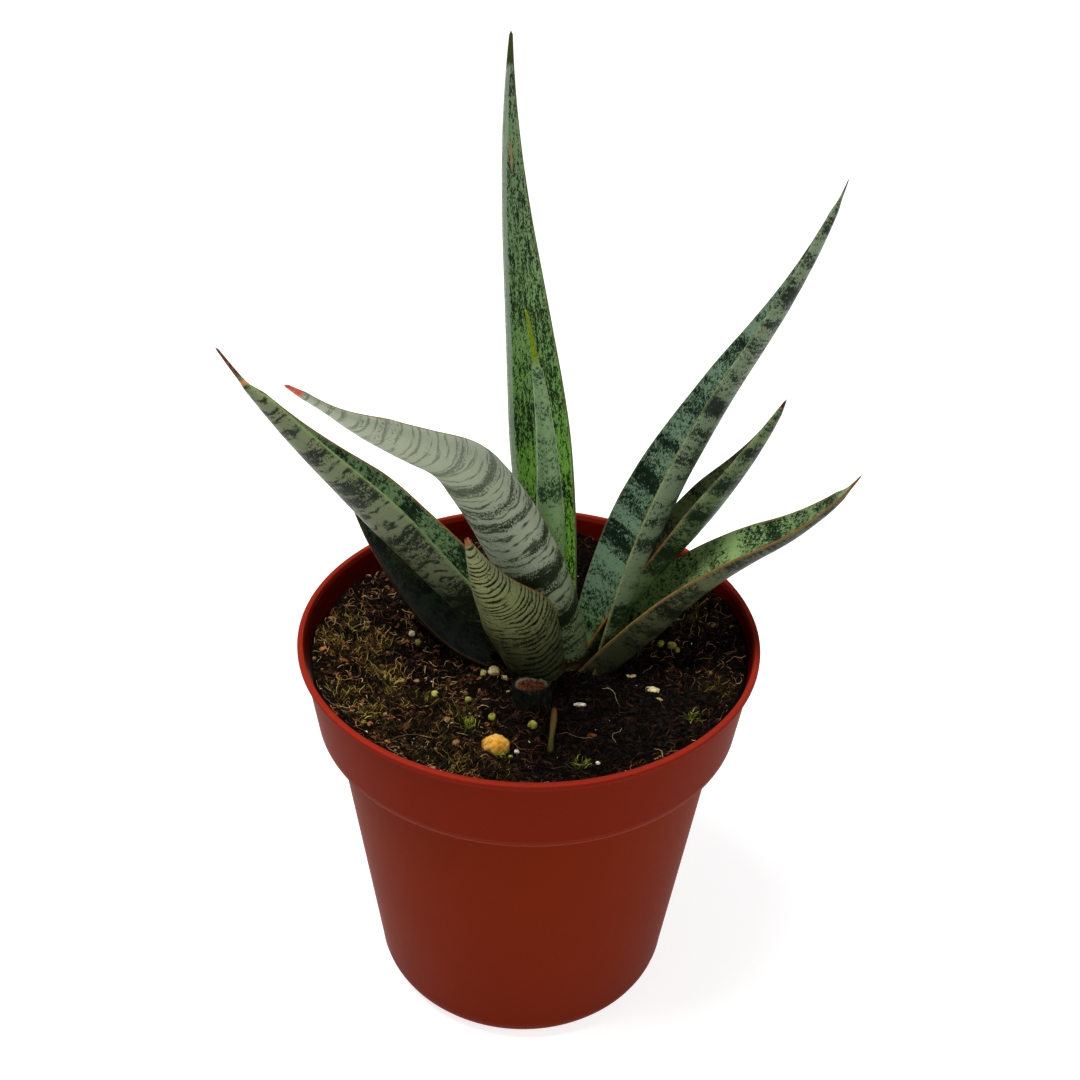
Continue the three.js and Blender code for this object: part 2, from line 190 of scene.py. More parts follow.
def skin_faces(rings: int, count: int) -> np.ndarray:
    """Squares between closed rings that follow each other.

    Args:
        rings: How many rings there are.
        count: Points in each ring.

    Returns:
        Corner numbers of shape ((rings - 1) * count, 4).
    """
    low = np.arange(rings - 1)[:, None] * count
    this = np.arange(count)
    following = (this + 1) % count
    square = [low + this, low + following, low + count + following, low + count + this]
    return np.stack(square, -1).reshape(-1, 4)


def fan_faces(ring_start: int, count: int, centre: int) -> np.ndarray:
    """Triangles from the point in the middle to each side of the closed ring round it."""
    this = np.arange(count)
    return np.stack([np.full(count, centre), ring_start + this, ring_start + (this + 1) % count], -1)


def closed_faces(rings: int, count: int) -> list[np.ndarray]:
    """Skin over rings that is closed by a fan at each end.

    Args:
        rings: How many rings there are.
        count: Points in each ring. The point that closes the first ring and the one that closes
            the last follow them in the mesh.

    Returns:
        The squares and the triangles.
    """
    total = rings * count
    first, last = fan_faces(0, count, total), fan_faces(total - count, count, total + 1)
    return [skin_faces(rings, count), np.concatenate([first[:, [0, 2, 1]], last])]


def close(rings: np.ndarray, first: Any, last: Any) -> np.ndarray:
    """Points of rings of shape (rings, count, 3), followed by the two that close them."""
    return np.concatenate([rings.reshape(-1, 3), [first], [last]])


def sweep(path: np.ndarray, radii: np.ndarray, sides: int, even: bool = True) -> np.ndarray:
    """Carries a round section along paths: radius times (cos turn) side + (sin turn) over.

    Side lies level and square to the path, and over is square to both.

    Args:
        path: Points of shape (..., steps, 3).
        radii: Radius at each of them.
        sides: Corners of the section.
        even: Whether the section keeps its width where the path climbs.

    Returns:
        Points of shape (..., steps, sides, 3).
    """
    forward = np.gradient(path, axis=-2)
    forward /= np.linalg.norm(forward, axis=-1, keepdims=True) + TINY
    side = np.cross(forward, UP)
    if even:
        side /= np.linalg.norm(side, axis=-1, keepdims=True) + TINY
    over = np.cross(side, forward)
    turn = np.arange(sides) * FULL_TURN / sides
    spoke = np.cos(turn)[:, None] * side[..., None, :] + np.sin(turn)[:, None] * over[..., None, :]
    return path[..., None, :] + radii[..., None, None] * spoke


# ---------------------------------------------------------------- shader expressions


class Value:
    """A number on a surface. Arithmetic on it adds Math nodes to its recipe."""

    def __init__(self, recipe: "Recipe", socket: Any) -> None:
        """Keeps the socket and the recipe that it belongs to."""
        self.recipe = recipe
        self.socket = socket

    def _math(self, operation: str, *terms: Any) -> "Value":
        """Adds one Math node."""
        return self.recipe.value("ShaderNodeMath", {"operation": operation}, dict(enumerate(terms)))

    def __add__(self, other: Any) -> "Value":
        """Sum."""
        return self._math("ADD", self, other)

    def __sub__(self, other: Any) -> "Value":
        """Difference."""
        return self._math("SUBTRACT", self, other)

    def __rsub__(self, other: Any) -> "Value":
        """Difference from a number."""
        return self._math("SUBTRACT", other, self)

    def __mul__(self, other: Any) -> "Value":
        """Product."""
        return self._math("MULTIPLY", self, other)

    def __pow__(self, other: Any) -> "Value":
        """Power."""
        return self._math("POWER", self, other)

    __radd__ = __add__
    __rmul__ = __mul__

    def wave(self) -> "Value":
        """Distance to the nearest whole number, from 0 to 0.5."""
        return self._math("PINGPONG", self, 0.5)

    def larger(self, other: Any) -> "Value":
        """The larger of two numbers."""
        return self._math("MAXIMUM", self, other)

    def smaller(self, other: Any) -> "Value":
        """The smaller of two numbers."""
        return self._math("MINIMUM", self, other)

    def fade(self, low: float, high: float) -> "Value":
        """Rises smoothly from 0 at low to 1 at high, or falls where low is above high.

        Args:
            low: Where it is 0.
            high: Where it is 1.

        Returns:
            The new number.
        """
        inputs = {0: self, 1: min(low, high), 2: max(low, high)}
        rise = self.recipe.value("ShaderNodeMapRange", {"interpolation_type": "SMOOTHSTEP"}, inputs)
        return rise if low < high else 1.0 - rise


Place = tuple[Value, Value, Value]


class Recipe:
    """The node tree of one finish."""

    def __init__(self, name: str) -> None:
        """Starts a material with one Principled shader."""
        self.material = bpy.data.materials.new(name)
        self.material.use_nodes = True
        self.tree = self.material.node_tree
        self.shader = self.tree.nodes["Principled BSDF"]

    def _feed(self, target: bpy.types.NodeSocket, given: Any) -> None:
        """Links or sets an input.

        Args:
            target: The input.
            given: A Value or a socket to link, or a constant to set.
        """
        source = given.socket if isinstance(given, Value) else given
        if isinstance(source, bpy.types.NodeSocket):
            self.tree.links.new(source, target)
        else:
            target.default_value = source

    def node(self, kind: str, settings: dict[str, Any], inputs: dict[Any, Any]) -> bpy.types.Node:
        """Adds any node.

        Args:
            kind: The node's type.
            settings: Properties, set before its sockets. stops fills a colour ramp.
            inputs: Socket name or number to a constant, a Value or a socket.

        Returns:
            The new node.
        """
        made = self.tree.nodes.new(kind)
        for key, setting in settings.items():
            if key == "stops":
                self._fill_ramp(made.color_ramp, setting)
            else:
                setattr(made, key, setting)
        for key, given in inputs.items():
            self._feed(made.inputs[key], given)
        return made

    @staticmethod
    def _fill_ramp(ramp: bpy.types.ColorRamp, stops: Stops) -> None:
        """Sets the stops of a colour ramp.

        Args:
            ramp: The ramp.
            stops: A place and a colour for each.
        """
        while len(ramp.elements) < len(stops):
            ramp.elements.new(1.0)
        for element, (place, colour) in zip(ramp.elements, stops):
            element.position = place
            element.color = linear(colour)

    def value(self, kind: str, settings: dict[str, Any], inputs: dict[Any, Any], output: Any = 0) -> Value:
        """Adds a node and gives one of its outputs as a number."""
        return Value(self, self.node(kind, settings, inputs).outputs[output])

    def mark(self, name: str) -> Value:
        """Reads a number that the mesh carries at its points."""
        return self.value("ShaderNodeAttribute", {"attribute_name": name}, {}, "Fac")

    def place(self) -> Place:
        """Reads the place on the object.

        Returns:
            Its three parts in millimetres.
        """
        where = self.node("ShaderNodeTexCoord", {}, {}).outputs["Object"]
        scaled = self.node("ShaderNodeVectorMath", {"operation": "SCALE"}, {0: where, "Scale": 1.0 / MM})
        parts = self.node("ShaderNodeSeparateXYZ", {}, {0: scaled.outputs[0]})
        return tuple(Value(self, output) for output in parts.outputs)

    def noise(self, x: Any, y: Any, z: Any, detail: float = 2.0, roughness: float = 0.55) -> Value:
        """Adds noise.

        Args:
            x: Place along the first axis, in cells.
            y: Place along the second.
            z: Place along the third.
            detail: How many finer layers are added.
            roughness: How strong each is, as a share of the last.

        Returns:
            A number from 0 to 1.
        """
        where = self.node("ShaderNodeCombineXYZ", {}, {0: x, 1: y, 2: z}).outputs[0]
        inputs = {"Vector": where, "Scale": 1.0, "Detail": detail, "Roughness": roughness}
        return self.value("ShaderNodeTexNoise", {}, inputs)

    def even_noise(self, place: Place, scale: float, detail: float = 2.0, roughness: float = 0.55) -> Value:
        """Noise from 0 to 1 with the same number of cells to a millimetre every way."""
        return self.noise(*(part * scale for part in place), detail, roughness)

    def specks(self, place: Place, scale: float) -> Value:
        """Strews one random point in each cell.

        Args:
            place: Place in millimetres.
            scale: Cells to a millimetre.

        Returns:
            Distance to the nearest point, in cells.
        """
        parts = {index: part * scale for index, part in enumerate(place)}
        where = self.node("ShaderNodeCombineXYZ", {}, parts).outputs[0]
        return self.value("ShaderNodeTexVoronoi", {}, {"Vector": where, "Scale": 1.0}, "Distance")

    def blend(self, factor: Any, low: Any, high: Any, mode: str = "MIX") -> Any:
        """Mixes two colours, low where factor is 0 and high, or low times high, where it is 1."""
        settings = {"data_type": "RGBA", "blend_type": mode}
        return self.node("ShaderNodeMix", settings, {0: factor, 6: linear(low), 7: linear(high)}).outputs[2]

    def ramp(self, factor: Value, *stops: tuple[float, Any]) -> Any:
        """Turns a number into a colour by a list of stops."""
        return self.node("ShaderNodeValToRGB", {"stops": stops}, {0: factor}).outputs[0]

    def finish(
        self, colour: Any, roughness: Any, height: Value | None = None, depth: float = 0.1, **fixed: Any
    ) -> bpy.types.Material:
        """Wires the shader.

        Args:
            colour: A colour socket.
            roughness: A number or a Value.
            height: Height of the relief, from 0 to 1.
            depth: How deep the relief is.
            **fixed: Shader sockets that are the same all over, with spaces written as _.

        Returns:
            The material.
        """
        sockets = {"Base Color": colour, "Roughness": roughness}
        if height is not None:
            inputs = {"Strength": 1.0, "Distance": depth * MM, "Height": height}
            sockets["Normal"] = self.node("ShaderNodeBump", {}, inputs).outputs[0]
        for key, given in (sockets | fixed).items():
            self._feed(self.shader.inputs[key.replace("_", " ")], given)
        return self.material


# ---------------------------------------------------------------- finishes


@dataclass(frozen=True)
class PotPlastic:
    """Brick-red moulded plastic: satin, faintly cloudy, scuffed and dusty, with painted light on it.

    lip_foot and band_foot are the heights at which the bead and the lifting band start. Peat
    clings to the inside below soil_line, thinning out over soil_fade. The bead's top carries a
    painted highlight over the painted shade of its side, the inside is painted darker as shade,
    and the body darkens towards the foot as painted shade, broken up by cloudy tone.
    """

    body: Rgb = (117, 36, 3)
    foot: Rgb = (107, 29, 1)
    collar: Rgb = (116, 33, 6)
    # lip is the bead's top with a painted highlight, lip_side_shade its side in painted shade, and inside the
    # painted shade within the pot.
    lip: Rgb = (146, 46, 30)
    lip_side_shade: Rgb = (122, 34, 17)
    inside: Rgb = (84, 10, 5)
    dust: Rgb = (168, 104, 84)
    soil: Rgb = (84, 52, 32)
    lip_foot: float = 96.7
    band_foot: float = 77.6
    soil_line: float = 89.5
    soil_fade: float = 5.5

    def material(self) -> bpy.types.Material:
        """Builds the material from the height, with scuffs that run round the pot.

        Returns:
            The material.
        """
        recipe = Recipe("pot_plastic")
        place = x, y, z = recipe.place()
        inner = recipe.mark("inner")
        cloud = recipe.noise(x * 0.035, y * 0.035, z * 0.03, 3.0)
        fine = recipe.even_noise(place, 1.4, 3.0, 0.6)
        # Painted shade: darker towards the foot, broken up by cloudy tone.
        colour = recipe.blend((z + cloud * 60.0).fade(10.0, 90.0), self.foot, self.body)
        colour = recipe.blend(z.fade(self.band_foot - 0.8, self.band_foot + 0.2), colour, self.collar)
        # Painted shade: the inside of the pot is a darker red.
        colour = recipe.blend(inner.fade(0.2, 0.8), colour, self.inside)
        below = (z + (fine - 0.5) * 12.0).fade(self.soil_line + self.soil_fade, self.soil_line)
        colour = recipe.blend(inner * below * fine.fade(0.42, 0.56) * 0.8, colour, self.soil)
        # Painted highlight: the bead's top is lighter than its side.
        crown = z.fade(self.lip_foot + 0.9, self.lip_foot + 1.15)
        lip = recipe.blend(crown * (0.75 + 0.5 * (fine - 0.5)), self.lip_side_shade, self.lip)
        colour = recipe.blend(z.fade(self.lip_foot - 0.2, self.lip_foot + 0.2), colour, lip)
        scuff = recipe.noise(x * 0.7, y * 0.7, z * 5.0, 4.0, 0.7).fade(0.66, 0.8)
        speck = recipe.specks(place, 0.45).fade(0.08, 0.03)
        wear = (scuff * (0.08 + 0.16 * z.fade(60.0, 98.0))).larger(speck * 0.22)
        colour = recipe.blend(wear, colour, self.dust)
        mould_rings = (z * 1.3 + cloud * 0.5).wave()
        relief = fine * 0.3 + mould_rings * 0.12 + recipe.even_noise(place, 0.25) * 0.5
        return recipe.finish(
            colour, 0.42 + 0.12 * fine + 0.1 * wear, relief, 0.03, Specular_IOR_Level=0.025,
            Sheen_Weight=0.2, Sheen_Roughness=0.12, Sheen_Tint=(1.0, 0.5, 0.36, 1.0))


@dataclass(frozen=True)
class FaceLook:
    """Pattern of one face of a leaf: dark blots gathered into loose bands across a pale ground.

    cover shifts how much is dark, band_gap is the length of a band and its gap, blot is the size
    of a blot across and along the leaf, and streak lengthens blots into dashes. lines draws fine
    broken rings that are line_gap apart. low_cover adds to cover within low_reach of the root.
    """

    pale: Rgb
    dark: Rgb
    cover: float = 0.0
    band: float = 1.35
    band_gap: float = 6.5
    blot: Span = (1.3, 1.6)
    blot_strength: float = 1.7
    grain: float = 1.3
    streak: float = 0.0
    lines: float = 0.0
    line_gap: float = 2.2
    line_reach: float = 4.0
    line_width: float = 0.3
    low_cover: float = 0.0
    low_reach: float = 60.0

    def colour(self, recipe: Recipe, length: Value, across: Value, seed: float) -> tuple[Any, Value]:
        """Adds the pattern's nodes.

        Args:
            recipe: The finish that the nodes go into.
            length: Distance from the root.
            across: Distance from the middle line.
            seed: Picks the pattern.

        Returns:
            The colour, and the fine grain for the relief.
        """
        warp = recipe.noise(across * 0.13, length * 0.09, seed)
        rows = length * (1.0 / self.band_gap) + warp * 0.9
        bands = recipe.noise(across * 0.03, rows, seed + 5.0, 1.0)
        wide, long = self.blot
        blots = recipe.noise(across * (1.0 / wide), length * (1.0 / long), seed + 9.0, 5.0, 0.74)
        grain = recipe.noise(across * 3.4, length * 1.3, seed + 13.0, 4.0, 0.75)
        cloud = (bands - 0.5) * self.band + (blots - 0.5) * self.blot_strength + (grain - 0.5) * self.grain
        if self.streak > 0.0:
            dashes = recipe.noise(across * 1.5, length * 0.11, seed + 17.0, 3.0, 0.65)
            cloud = cloud + (dashes - 0.5) * self.streak
        if self.low_cover != 0.0:
            cloud = cloud + length.fade(self.low_reach, 0.3 * self.low_reach) * self.low_cover
        shade = (cloud + self.cover) * 1.5 + 0.5
        if self.lines > 0.0:
            row = (length * (1.0 / self.line_gap) + warp * 3.0 + (blots - 0.5) * 0.9).wave()
            gaps = recipe.noise(across * (1.0 / self.line_reach), length * 0.45, seed + 21.0).fade(0.38, 0.52)
            line = (row + (grain - 0.5) * 0.45).fade(self.line_width, 0.2 * self.line_width) * gaps
            shade = shade.larger(0.4 + 0.45 * self.lines * line)
        return self._shades(recipe, shade), grain

    def _shades(self, recipe: Recipe, shade: Value) -> Any:
        """Runs from a lightened pale colour through a mixture of the two to a deepened dark one.

        Args:
            recipe: The finish that the nodes go into.
            shade: How dark the skin is, from 0 to 1.

        Returns:
            The colour.
        """
        pale, dark = linear(self.pale), linear(self.dark)
        light = tuple(min(1.0, 1.14 * channel) for channel in pale)
        middle = tuple(0.45 * one + 0.55 * other for one, other in zip(pale, dark))
        deep = (*(0.55 * channel for channel in dark[:3]), 1.0)
        return recipe.ramp(shade, (0.1, light), (0.42, pale), (0.54, middle), (0.62, dark), (0.95, deep))


@dataclass(frozen=True)
class LeafSpot:
    """Where a spot of skin lies on its leaf, with the fine grain and the slow tone there.

    along, across, edge and to_tip are distances from the root, the middle line, the nearer edge
    and the tip. inner is 1 on the face that looks to the plant's middle.
    """

    along: Value
    across: Value
    inner: Value
    edge: Value
    to_tip: Value
    grain: Value
    tone: Value


@dataclass(frozen=True)
class LeafSkin:
    """Waxy leaf skin with a pattern for each face, two edge lines, a root tint and a dry tip.

    inner is the face that looks to the plant's middle, outer the face that looks away. left and
    right are the edges at negative and positive distances across. The left line ends left_reach
    from the root. root_tint multiplies the colour near the root: a real paler base on
    most leaves, on a few leaves painted light and on one painted shade. bloom
    pales the outer face from bloom_from on, partly the pattern fading and partly
    painted light where the bend faces the light, painted shade darkens it within shade_reach,
    edge_highlight is the strength of a painted highlight inside each edge line, strip is a pale
    band along the right edge, scar_at a corky scar at a distance from the tip, and tip_glow an
    orange bead below it.
    """

    name: str
    seed: float
    inner: FaceLook
    outer: FaceLook
    left: Rgb = (150, 96, 40)
    right: Rgb = (150, 96, 40)
    left_strength: float = 0.9
    right_strength: float = 0.9
    left_reach: float = 500.0
    margin_width: float = 0.42
    edge_highlight: float = 0.2
    root_tint: Colour = (0.9, 1.05, 0.4, 1.0)
    root_reach: float = 15.0
    root_amount: float = 0.55
    bloom_from: float = 0.0
    tip: Rgb = (104, 62, 38)
    tip_dark: Rgb = (58, 38, 28)
    tip_reach: float = 2.5
    tip_glow: float = 0.0
    shade_reach: float = 0.0
    strip: float = 0.0
    scar_at: float = 0.0

    def material(self) -> bpy.types.Material:
        """Builds the material from the marks along, across, inner, edge and to_tip.

        Returns:
            The material.
        """
        recipe = Recipe("skin_" + self.name)
        length, across, inner = recipe.mark("along"), recipe.mark("across"), recipe.mark("inner")
        inner_colour, grain = self.inner.colour(recipe, length, across, self.seed)
        outer_colour, _ = self.outer.colour(recipe, length, across, self.seed + 50.0)
        # Partly the pattern fading towards the tip, partly painted light on the bend that faces the light
        # from above.
        if self.bloom_from > 0.0:
            bloom = length.fade(self.bloom_from, self.bloom_from + 30.0) * 0.42
            outer_colour = recipe.blend(bloom, outer_colour, self.outer.pale)
        colour = recipe.blend(inner, outer_colour, inner_colour)
        tone = recipe.noise(across * 0.3, length * 0.28, self.seed + 29.0, 3.0)
        spot = LeafSpot(length, across, inner, recipe.mark("edge"), recipe.mark("to_tip"), grain, tone)
        colour = self._root(recipe, spot, colour)
        colour, rim = self._edges(recipe, spot, colour)
        colour, dry = self._dry_tip(recipe, spot, colour)
        ridges = recipe.noise(across * 1.3, length * 0.03, self.seed + 31.0)
        relief = ridges * 0.8 + grain * 0.3 + dry * tone
        roughness = 0.42 + 0.2 * (grain - 0.5) + 0.3 * dry + 0.15 * rim
        return recipe.finish(colour, roughness, relief, 0.1, Specular_IOR_Level=0.2)

    def _root(self, recipe: Recipe, spot: LeafSpot, colour: Any) -> Any:
        """Tints the root, which paints light on some leaves and shade on one, adds scraps of brown husk at
        its foot and paints shade on the outer face.

        Args:
            recipe: The finish that the nodes go into.
            spot: Where the colour is on the leaf.
            colour: The colour so far.

        Returns:
            The new colour.
        """
        # Root tint: a real paler base on most leaves, painted light on the young, tall and low right leaves
        # and painted shade on the arching one.
        root = spot.along.fade(self.root_reach, self.root_reach * 0.2) * self.root_amount
        uneven = (0.55 + 0.9 * spot.tone).smaller(1.0)
        colour = recipe.blend(root * uneven, colour, self.root_tint, "MULTIPLY")
        husk = spot.along.fade(9.0, 5.0) * spot.tone.fade(0.5, 0.58) * 0.8
        colour = recipe.blend(husk, colour, (92, 48, 26))
        if self.shade_reach > 0.0:
            shade = spot.along.fade(self.shade_reach, self.shade_reach * 0.25) * (1.0 - spot.inner) * 0.6
            colour = recipe.blend(shade, colour, (28, 36, 26))
        return colour

    def _edges(self, recipe: Recipe, spot: LeafSpot, colour: Any) -> tuple[Any, Value]:
        """Draws the ragged line along each edge with a painted highlight inside it.

        Args:
            recipe: The finish that the nodes go into.
            spot: Where the colour is on the leaf.
            colour: The colour so far.

        Returns:
            The new colour, and 1 on the edge lines.
        """
        right = spot.across.fade(-0.4, 0.4)
        if self.strip > 0.0:
            strip = (spot.edge + (spot.grain - 0.5) * 1.5).fade(self.strip, self.strip * 0.6) * right
            colour = recipe.blend(strip * 0.7, colour, (150, 166, 148))
        ragged = spot.edge + (spot.tone - 0.5) * self.margin_width
        # Painted highlight: a pale band just inside the edge line, where the rounded edge catches the light.
        edge_highlight = ragged.fade(self.margin_width * 2.3, self.margin_width * 1.2) * self.edge_highlight
        colour = recipe.blend(edge_highlight, colour, (150, 160, 104))
        rim = ragged.fade(self.margin_width, self.margin_width * 0.6)
        near_root = spot.along.fade(self.left_reach + 9.0, self.left_reach - 9.0)
        strength = self.right_strength * right + self.left_strength * (1.0 - right) * near_root
        strength = strength * (0.45 + 1.1 * spot.tone).smaller(1.0)
        line = recipe.blend(right, self.left, self.right)
        line = recipe.blend(spot.grain.fade(0.35, 0.7) * 0.5, line, self.tip_dark)
        return recipe.blend(rim * strength, colour, line), rim

    def _dry_tip(self, recipe: Recipe, spot: LeafSpot, colour: Any) -> tuple[Any, Value]:
        """Colours the dry tip, and where the leaf has them its scar and its orange bead.

        Args:
            recipe: The finish that the nodes go into.
            spot: Where the colour is on the leaf.
            colour: The colour so far.

        Returns:
            The new colour, and 1 on the dry part.
        """
        if self.scar_at > 0.0:
            scar = ((spot.to_tip - self.scar_at) * 0.2) ** 2.0 + ((spot.across - 0.4) * 1.7) ** 2.0
            colour = recipe.blend((scar + spot.grain).fade(1.2, 0.7), colour, (146, 122, 84))
        dry = (spot.to_tip + 1.4 * (spot.grain - 0.5)).fade(self.tip_reach, self.tip_reach * 0.8 - 0.3)
        dry_colour = recipe.blend(spot.grain.fade(0.4, 0.62), self.tip, self.tip_dark)
        colour = recipe.blend(dry, colour, dry_colour)
        if self.tip_glow > 0.0:
            past = spot.to_tip - self.tip_reach
            bead = past.fade(-0.3, 0.1) * past.fade(self.tip_glow, 0.5)
            colour = recipe.blend(bead * 0.85, colour, (192, 136, 72))
        return colour, dry


@dataclass(frozen=True)
class MixFinish:
    """Dark moist peat with brown and rusty grains, its hollows darkened to near black as painted shade."""

    deep: Rgb = (9, 7, 5)
    mid: Rgb = (20, 13, 8)
    rust: Rgb = (84, 50, 28)
    moss: Rgb = (42, 38, 12)

    def material(self) -> bpy.types.Material:
        """Builds the material from place alone, with moss over the left side.

        Returns:
            The material.
        """
        recipe = Recipe("peat_mix")
        place = x, y, _ = recipe.place()
        clod = recipe.even_noise(place, 0.45, 4.0, 0.65)
        grit = recipe.even_noise(place, 2.2, 4.0, 0.72)
        colour = recipe.ramp(grit, (0.4, self.deep), (0.56, self.mid), (0.72, self.rust))
        # Painted shade: the hollows between clods are darkened towards near black.
        colour = recipe.blend(clod.fade(0.62, 0.42) * 0.85, colour, self.deep)
        patch = recipe.noise(x * 0.09, y * 0.09, 4.0, 3.0).fade(0.5, 0.62) * x.fade(5.0, -20.0)
        colour = recipe.blend(patch * grit.fade(0.45, 0.6) * 0.7, colour, self.moss)
        return recipe.finish(colour, 0.8 + 0.2 * grit, grit + clod, 0.8, Specular_IOR_Level=0.06)


@dataclass(frozen=True)
class TintFinish:
    """Bits whose colour is picked from a list by the number that each carries.

    grain is how far noise shifts the pick, fineness its cells to a millimetre.
    """

    name: str
    stops: Stops
    roughness: float = 0.75
    grain: float = 0.35
    fineness: float = 3.0
    depth: float = 0.15

    def material(self) -> bpy.types.Material:
        """Builds the material from the mark tint and fine noise.

        Returns:
            The material.
        """
        recipe = Recipe(self.name)
        fine = recipe.even_noise(recipe.place(), self.fineness, 3.0, 0.65)
        colour = recipe.ramp(recipe.mark("tint") + (fine - 0.5) * self.grain, *self.stops)
        roughness = self.roughness + 0.2 * (fine - 0.5)
        return recipe.finish(colour, roughness, fine, self.depth, Specular_IOR_Level=0.15)


# ---------------------------------------------------------------- pot


@dataclass
class NurseryPot:
    """Round thin-walled pot with a bead, a lifting band, a tapered body and drain holes."""

    lip_height: float = 1.3
    lip_overhang: float = 1.1
    lip_brow: float = 1.0
    collar_height: float = 20.4
    collar_taper: float = 2.5
    shoulder_step: float = 3.8
    body_taper: float = 8.8
    foot_corner: float = 7.2
    wall: float = 1.1
    floor: float = 1.6
    rounding: float = 0.5
    drain_radius: float = 1.9
    drain_count: int = 8
    drain_inset: float = 5.0
    out_of_round: float = 0.0008
    segments: int = 240
    finish: PotPlastic = field(default_factory=PotPlastic)

    def __post_init__(self) -> None:
        """Takes the height and the rim from the CAD pot."""
        low, high = cad_box("nursery_pot")
        self.height = high[2] - low[2]
        self.rim = (high[0] - low[0]) / 2.0
        self.band_foot = self.height - self.collar_height
        self.collar_top = self.rim - self.lip_overhang
        self.collar_foot = self.collar_top - self.collar_taper
        self.body_top = self.collar_foot - self.shoulder_step
        self.foot = self.body_top - self.body_taper
        self.flat = self.foot - self.foot_corner

    def inner_radius(self, height: np.ndarray) -> np.ndarray:
        """Radius of the inner wall of the lifting band at a height."""
        share = (height - self.band_foot) / self.collar_height
        return self.collar_foot - self.wall + share * self.collar_taper

    @staticmethod
    def _corner(radius: float, height: float, size: float, steps: int) -> np.ndarray:
        """Quarter circle from level to upright: radius + size sin(turn), height + size (1 - cos(turn))."""
        turn = np.linspace(0.0, math.pi / 2.0, steps)
        return np.stack([radius + size * np.sin(turn), height + size * (1.0 - np.cos(turn))], -1)

    def _lip(self) -> np.ndarray:
        """Outline of the bead, round above and below, and of the step inside it.

        Returns:
            Points (radius, height).
        """
        foot, low_round = self.height - self.lip_height, self.rounding / 2.0
        turn = np.linspace(0.0, math.pi / 2.0, 6)
        crown = np.stack([np.cos(turn), np.sin(turn)], -1)
        inner = self.collar_top - self.wall
        return np.concatenate([
            self._corner(self.rim - low_round, foot, low_round, 5),
            [self.rim - self.rounding, self.height - self.rounding] + self.rounding * crown,
            [[inner + self.lip_brow, self.height], [inner + 0.9 * self.lip_brow, self.height - 0.1],
             [inner + 0.8 * self.lip_brow, self.height - 0.4], [inner, self.height - 3.2]],
        ])

    def profile(self) -> tuple[np.ndarray, np.ndarray]:
        """Outline from the middle of the underside, up the outside, over the bead and down inside.

        Corners are quarter circles and the long walls are cut into short steps.

        Returns:
            Points (radius, height), and 1 at those that lie inside the pot.
        """
        under = np.linspace((0.0, 0.0), (self.flat, 0.0), 24)[1:]
        step = self.band_foot - self.wall
        edge = self._corner(self.collar_foot - self.rounding, self.band_foot, self.rounding, 4)
        band_start = (self.collar_foot + 0.05, self.band_foot + self.rounding)
        outside = np.concatenate([
            under, self._corner(self.flat, 0.0, self.foot_corner, 10)[1:],
            np.linspace((self.foot, self.foot_corner), (self.body_top, step), 24)[1:],
            [[self.body_top + 0.15, step + 0.55], [self.collar_foot - 0.6, self.band_foot - 0.12]], edge[1:],
            np.linspace(band_start, (self.collar_top, self.height - self.lip_height - 0.1), 14), self._lip(),
        ])
        inset, inner_corner = self.wall, self.foot_corner - self.wall
        corner = self._corner(self.foot - inset - inner_corner, self.floor, inner_corner, 10)[::-1]
        collar_start = (self.collar_top - inset - 0.08, self.height - 3.8)
        inside = np.concatenate([
            np.linspace(collar_start, (self.collar_foot - inset, self.band_foot + 0.2), 12),
            np.linspace((self.body_top - inset, step), corner[0], 12), corner[1:],
            np.linspace(corner[-1], (0.0, self.floor), 10)[1:-1],
        ])
        marks = np.concatenate([np.zeros(len(outside) - 2), np.ones(len(inside) + 2)])
        return np.concatenate([outside, inside]), marks

    def build(self) -> bpy.types.Object:
        """Turns the outline round the axis, cuts the drain holes and dresses the pot.

        Returns:
            The pot.
        """
        outline, inner = self.profile()
        radius, height = outline[:, :1], outline[:, 1:]
        angle = circle(self.segments)
        wobble = 1.0 + self.out_of_round * np.sin(2.0 * angle + 0.6) * fade(40.0, 98.0, height)
        points = close(around(radius * wobble, angle, height), (0.0, 0.0, 0.0), (0.0, 0.0, self.floor))
        marks = np.append(np.repeat(inner, self.segments), [0.0, 1.0])
        faces = closed_faces(len(outline), self.segments)
        pot = make_piece("pot", points, faces, self.finish.material(), {"inner": marks})
        self._drill(pot)
        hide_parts("nursery_pot")
        return pot

    def _drill(self, pot: bpy.types.Object) -> None:
        """Cuts the ring of drain holes with round plugs that are removed afterwards.

        Args:
            pot: The pot, whose mesh is replaced.
        """
        reach, depth = (self.flat - self.drain_inset) * MM, self.floor * MM
        for angle in circle(self.drain_count):
            bpy.ops.mesh.primitive_cylinder_add(
                vertices=32, radius=self.drain_radius * MM, depth=4.0 * depth,
                location=(reach * math.cos(angle), reach * math.sin(angle), depth))
            plug = bpy.context.object
            cut = pot.modifiers.new("drain", "BOOLEAN")
            cut.object = plug
            cut.solver = "EXACT"
            shaped = bpy.data.meshes.new_from_object(pot.evaluated_get(bpy.context.evaluated_depsgraph_get()))
            pot.modifiers.clear()
            pot.data = shaped
            bpy.data.objects.remove(plug, do_unlink=True)


# ---------------------------------------------------------------- leaves


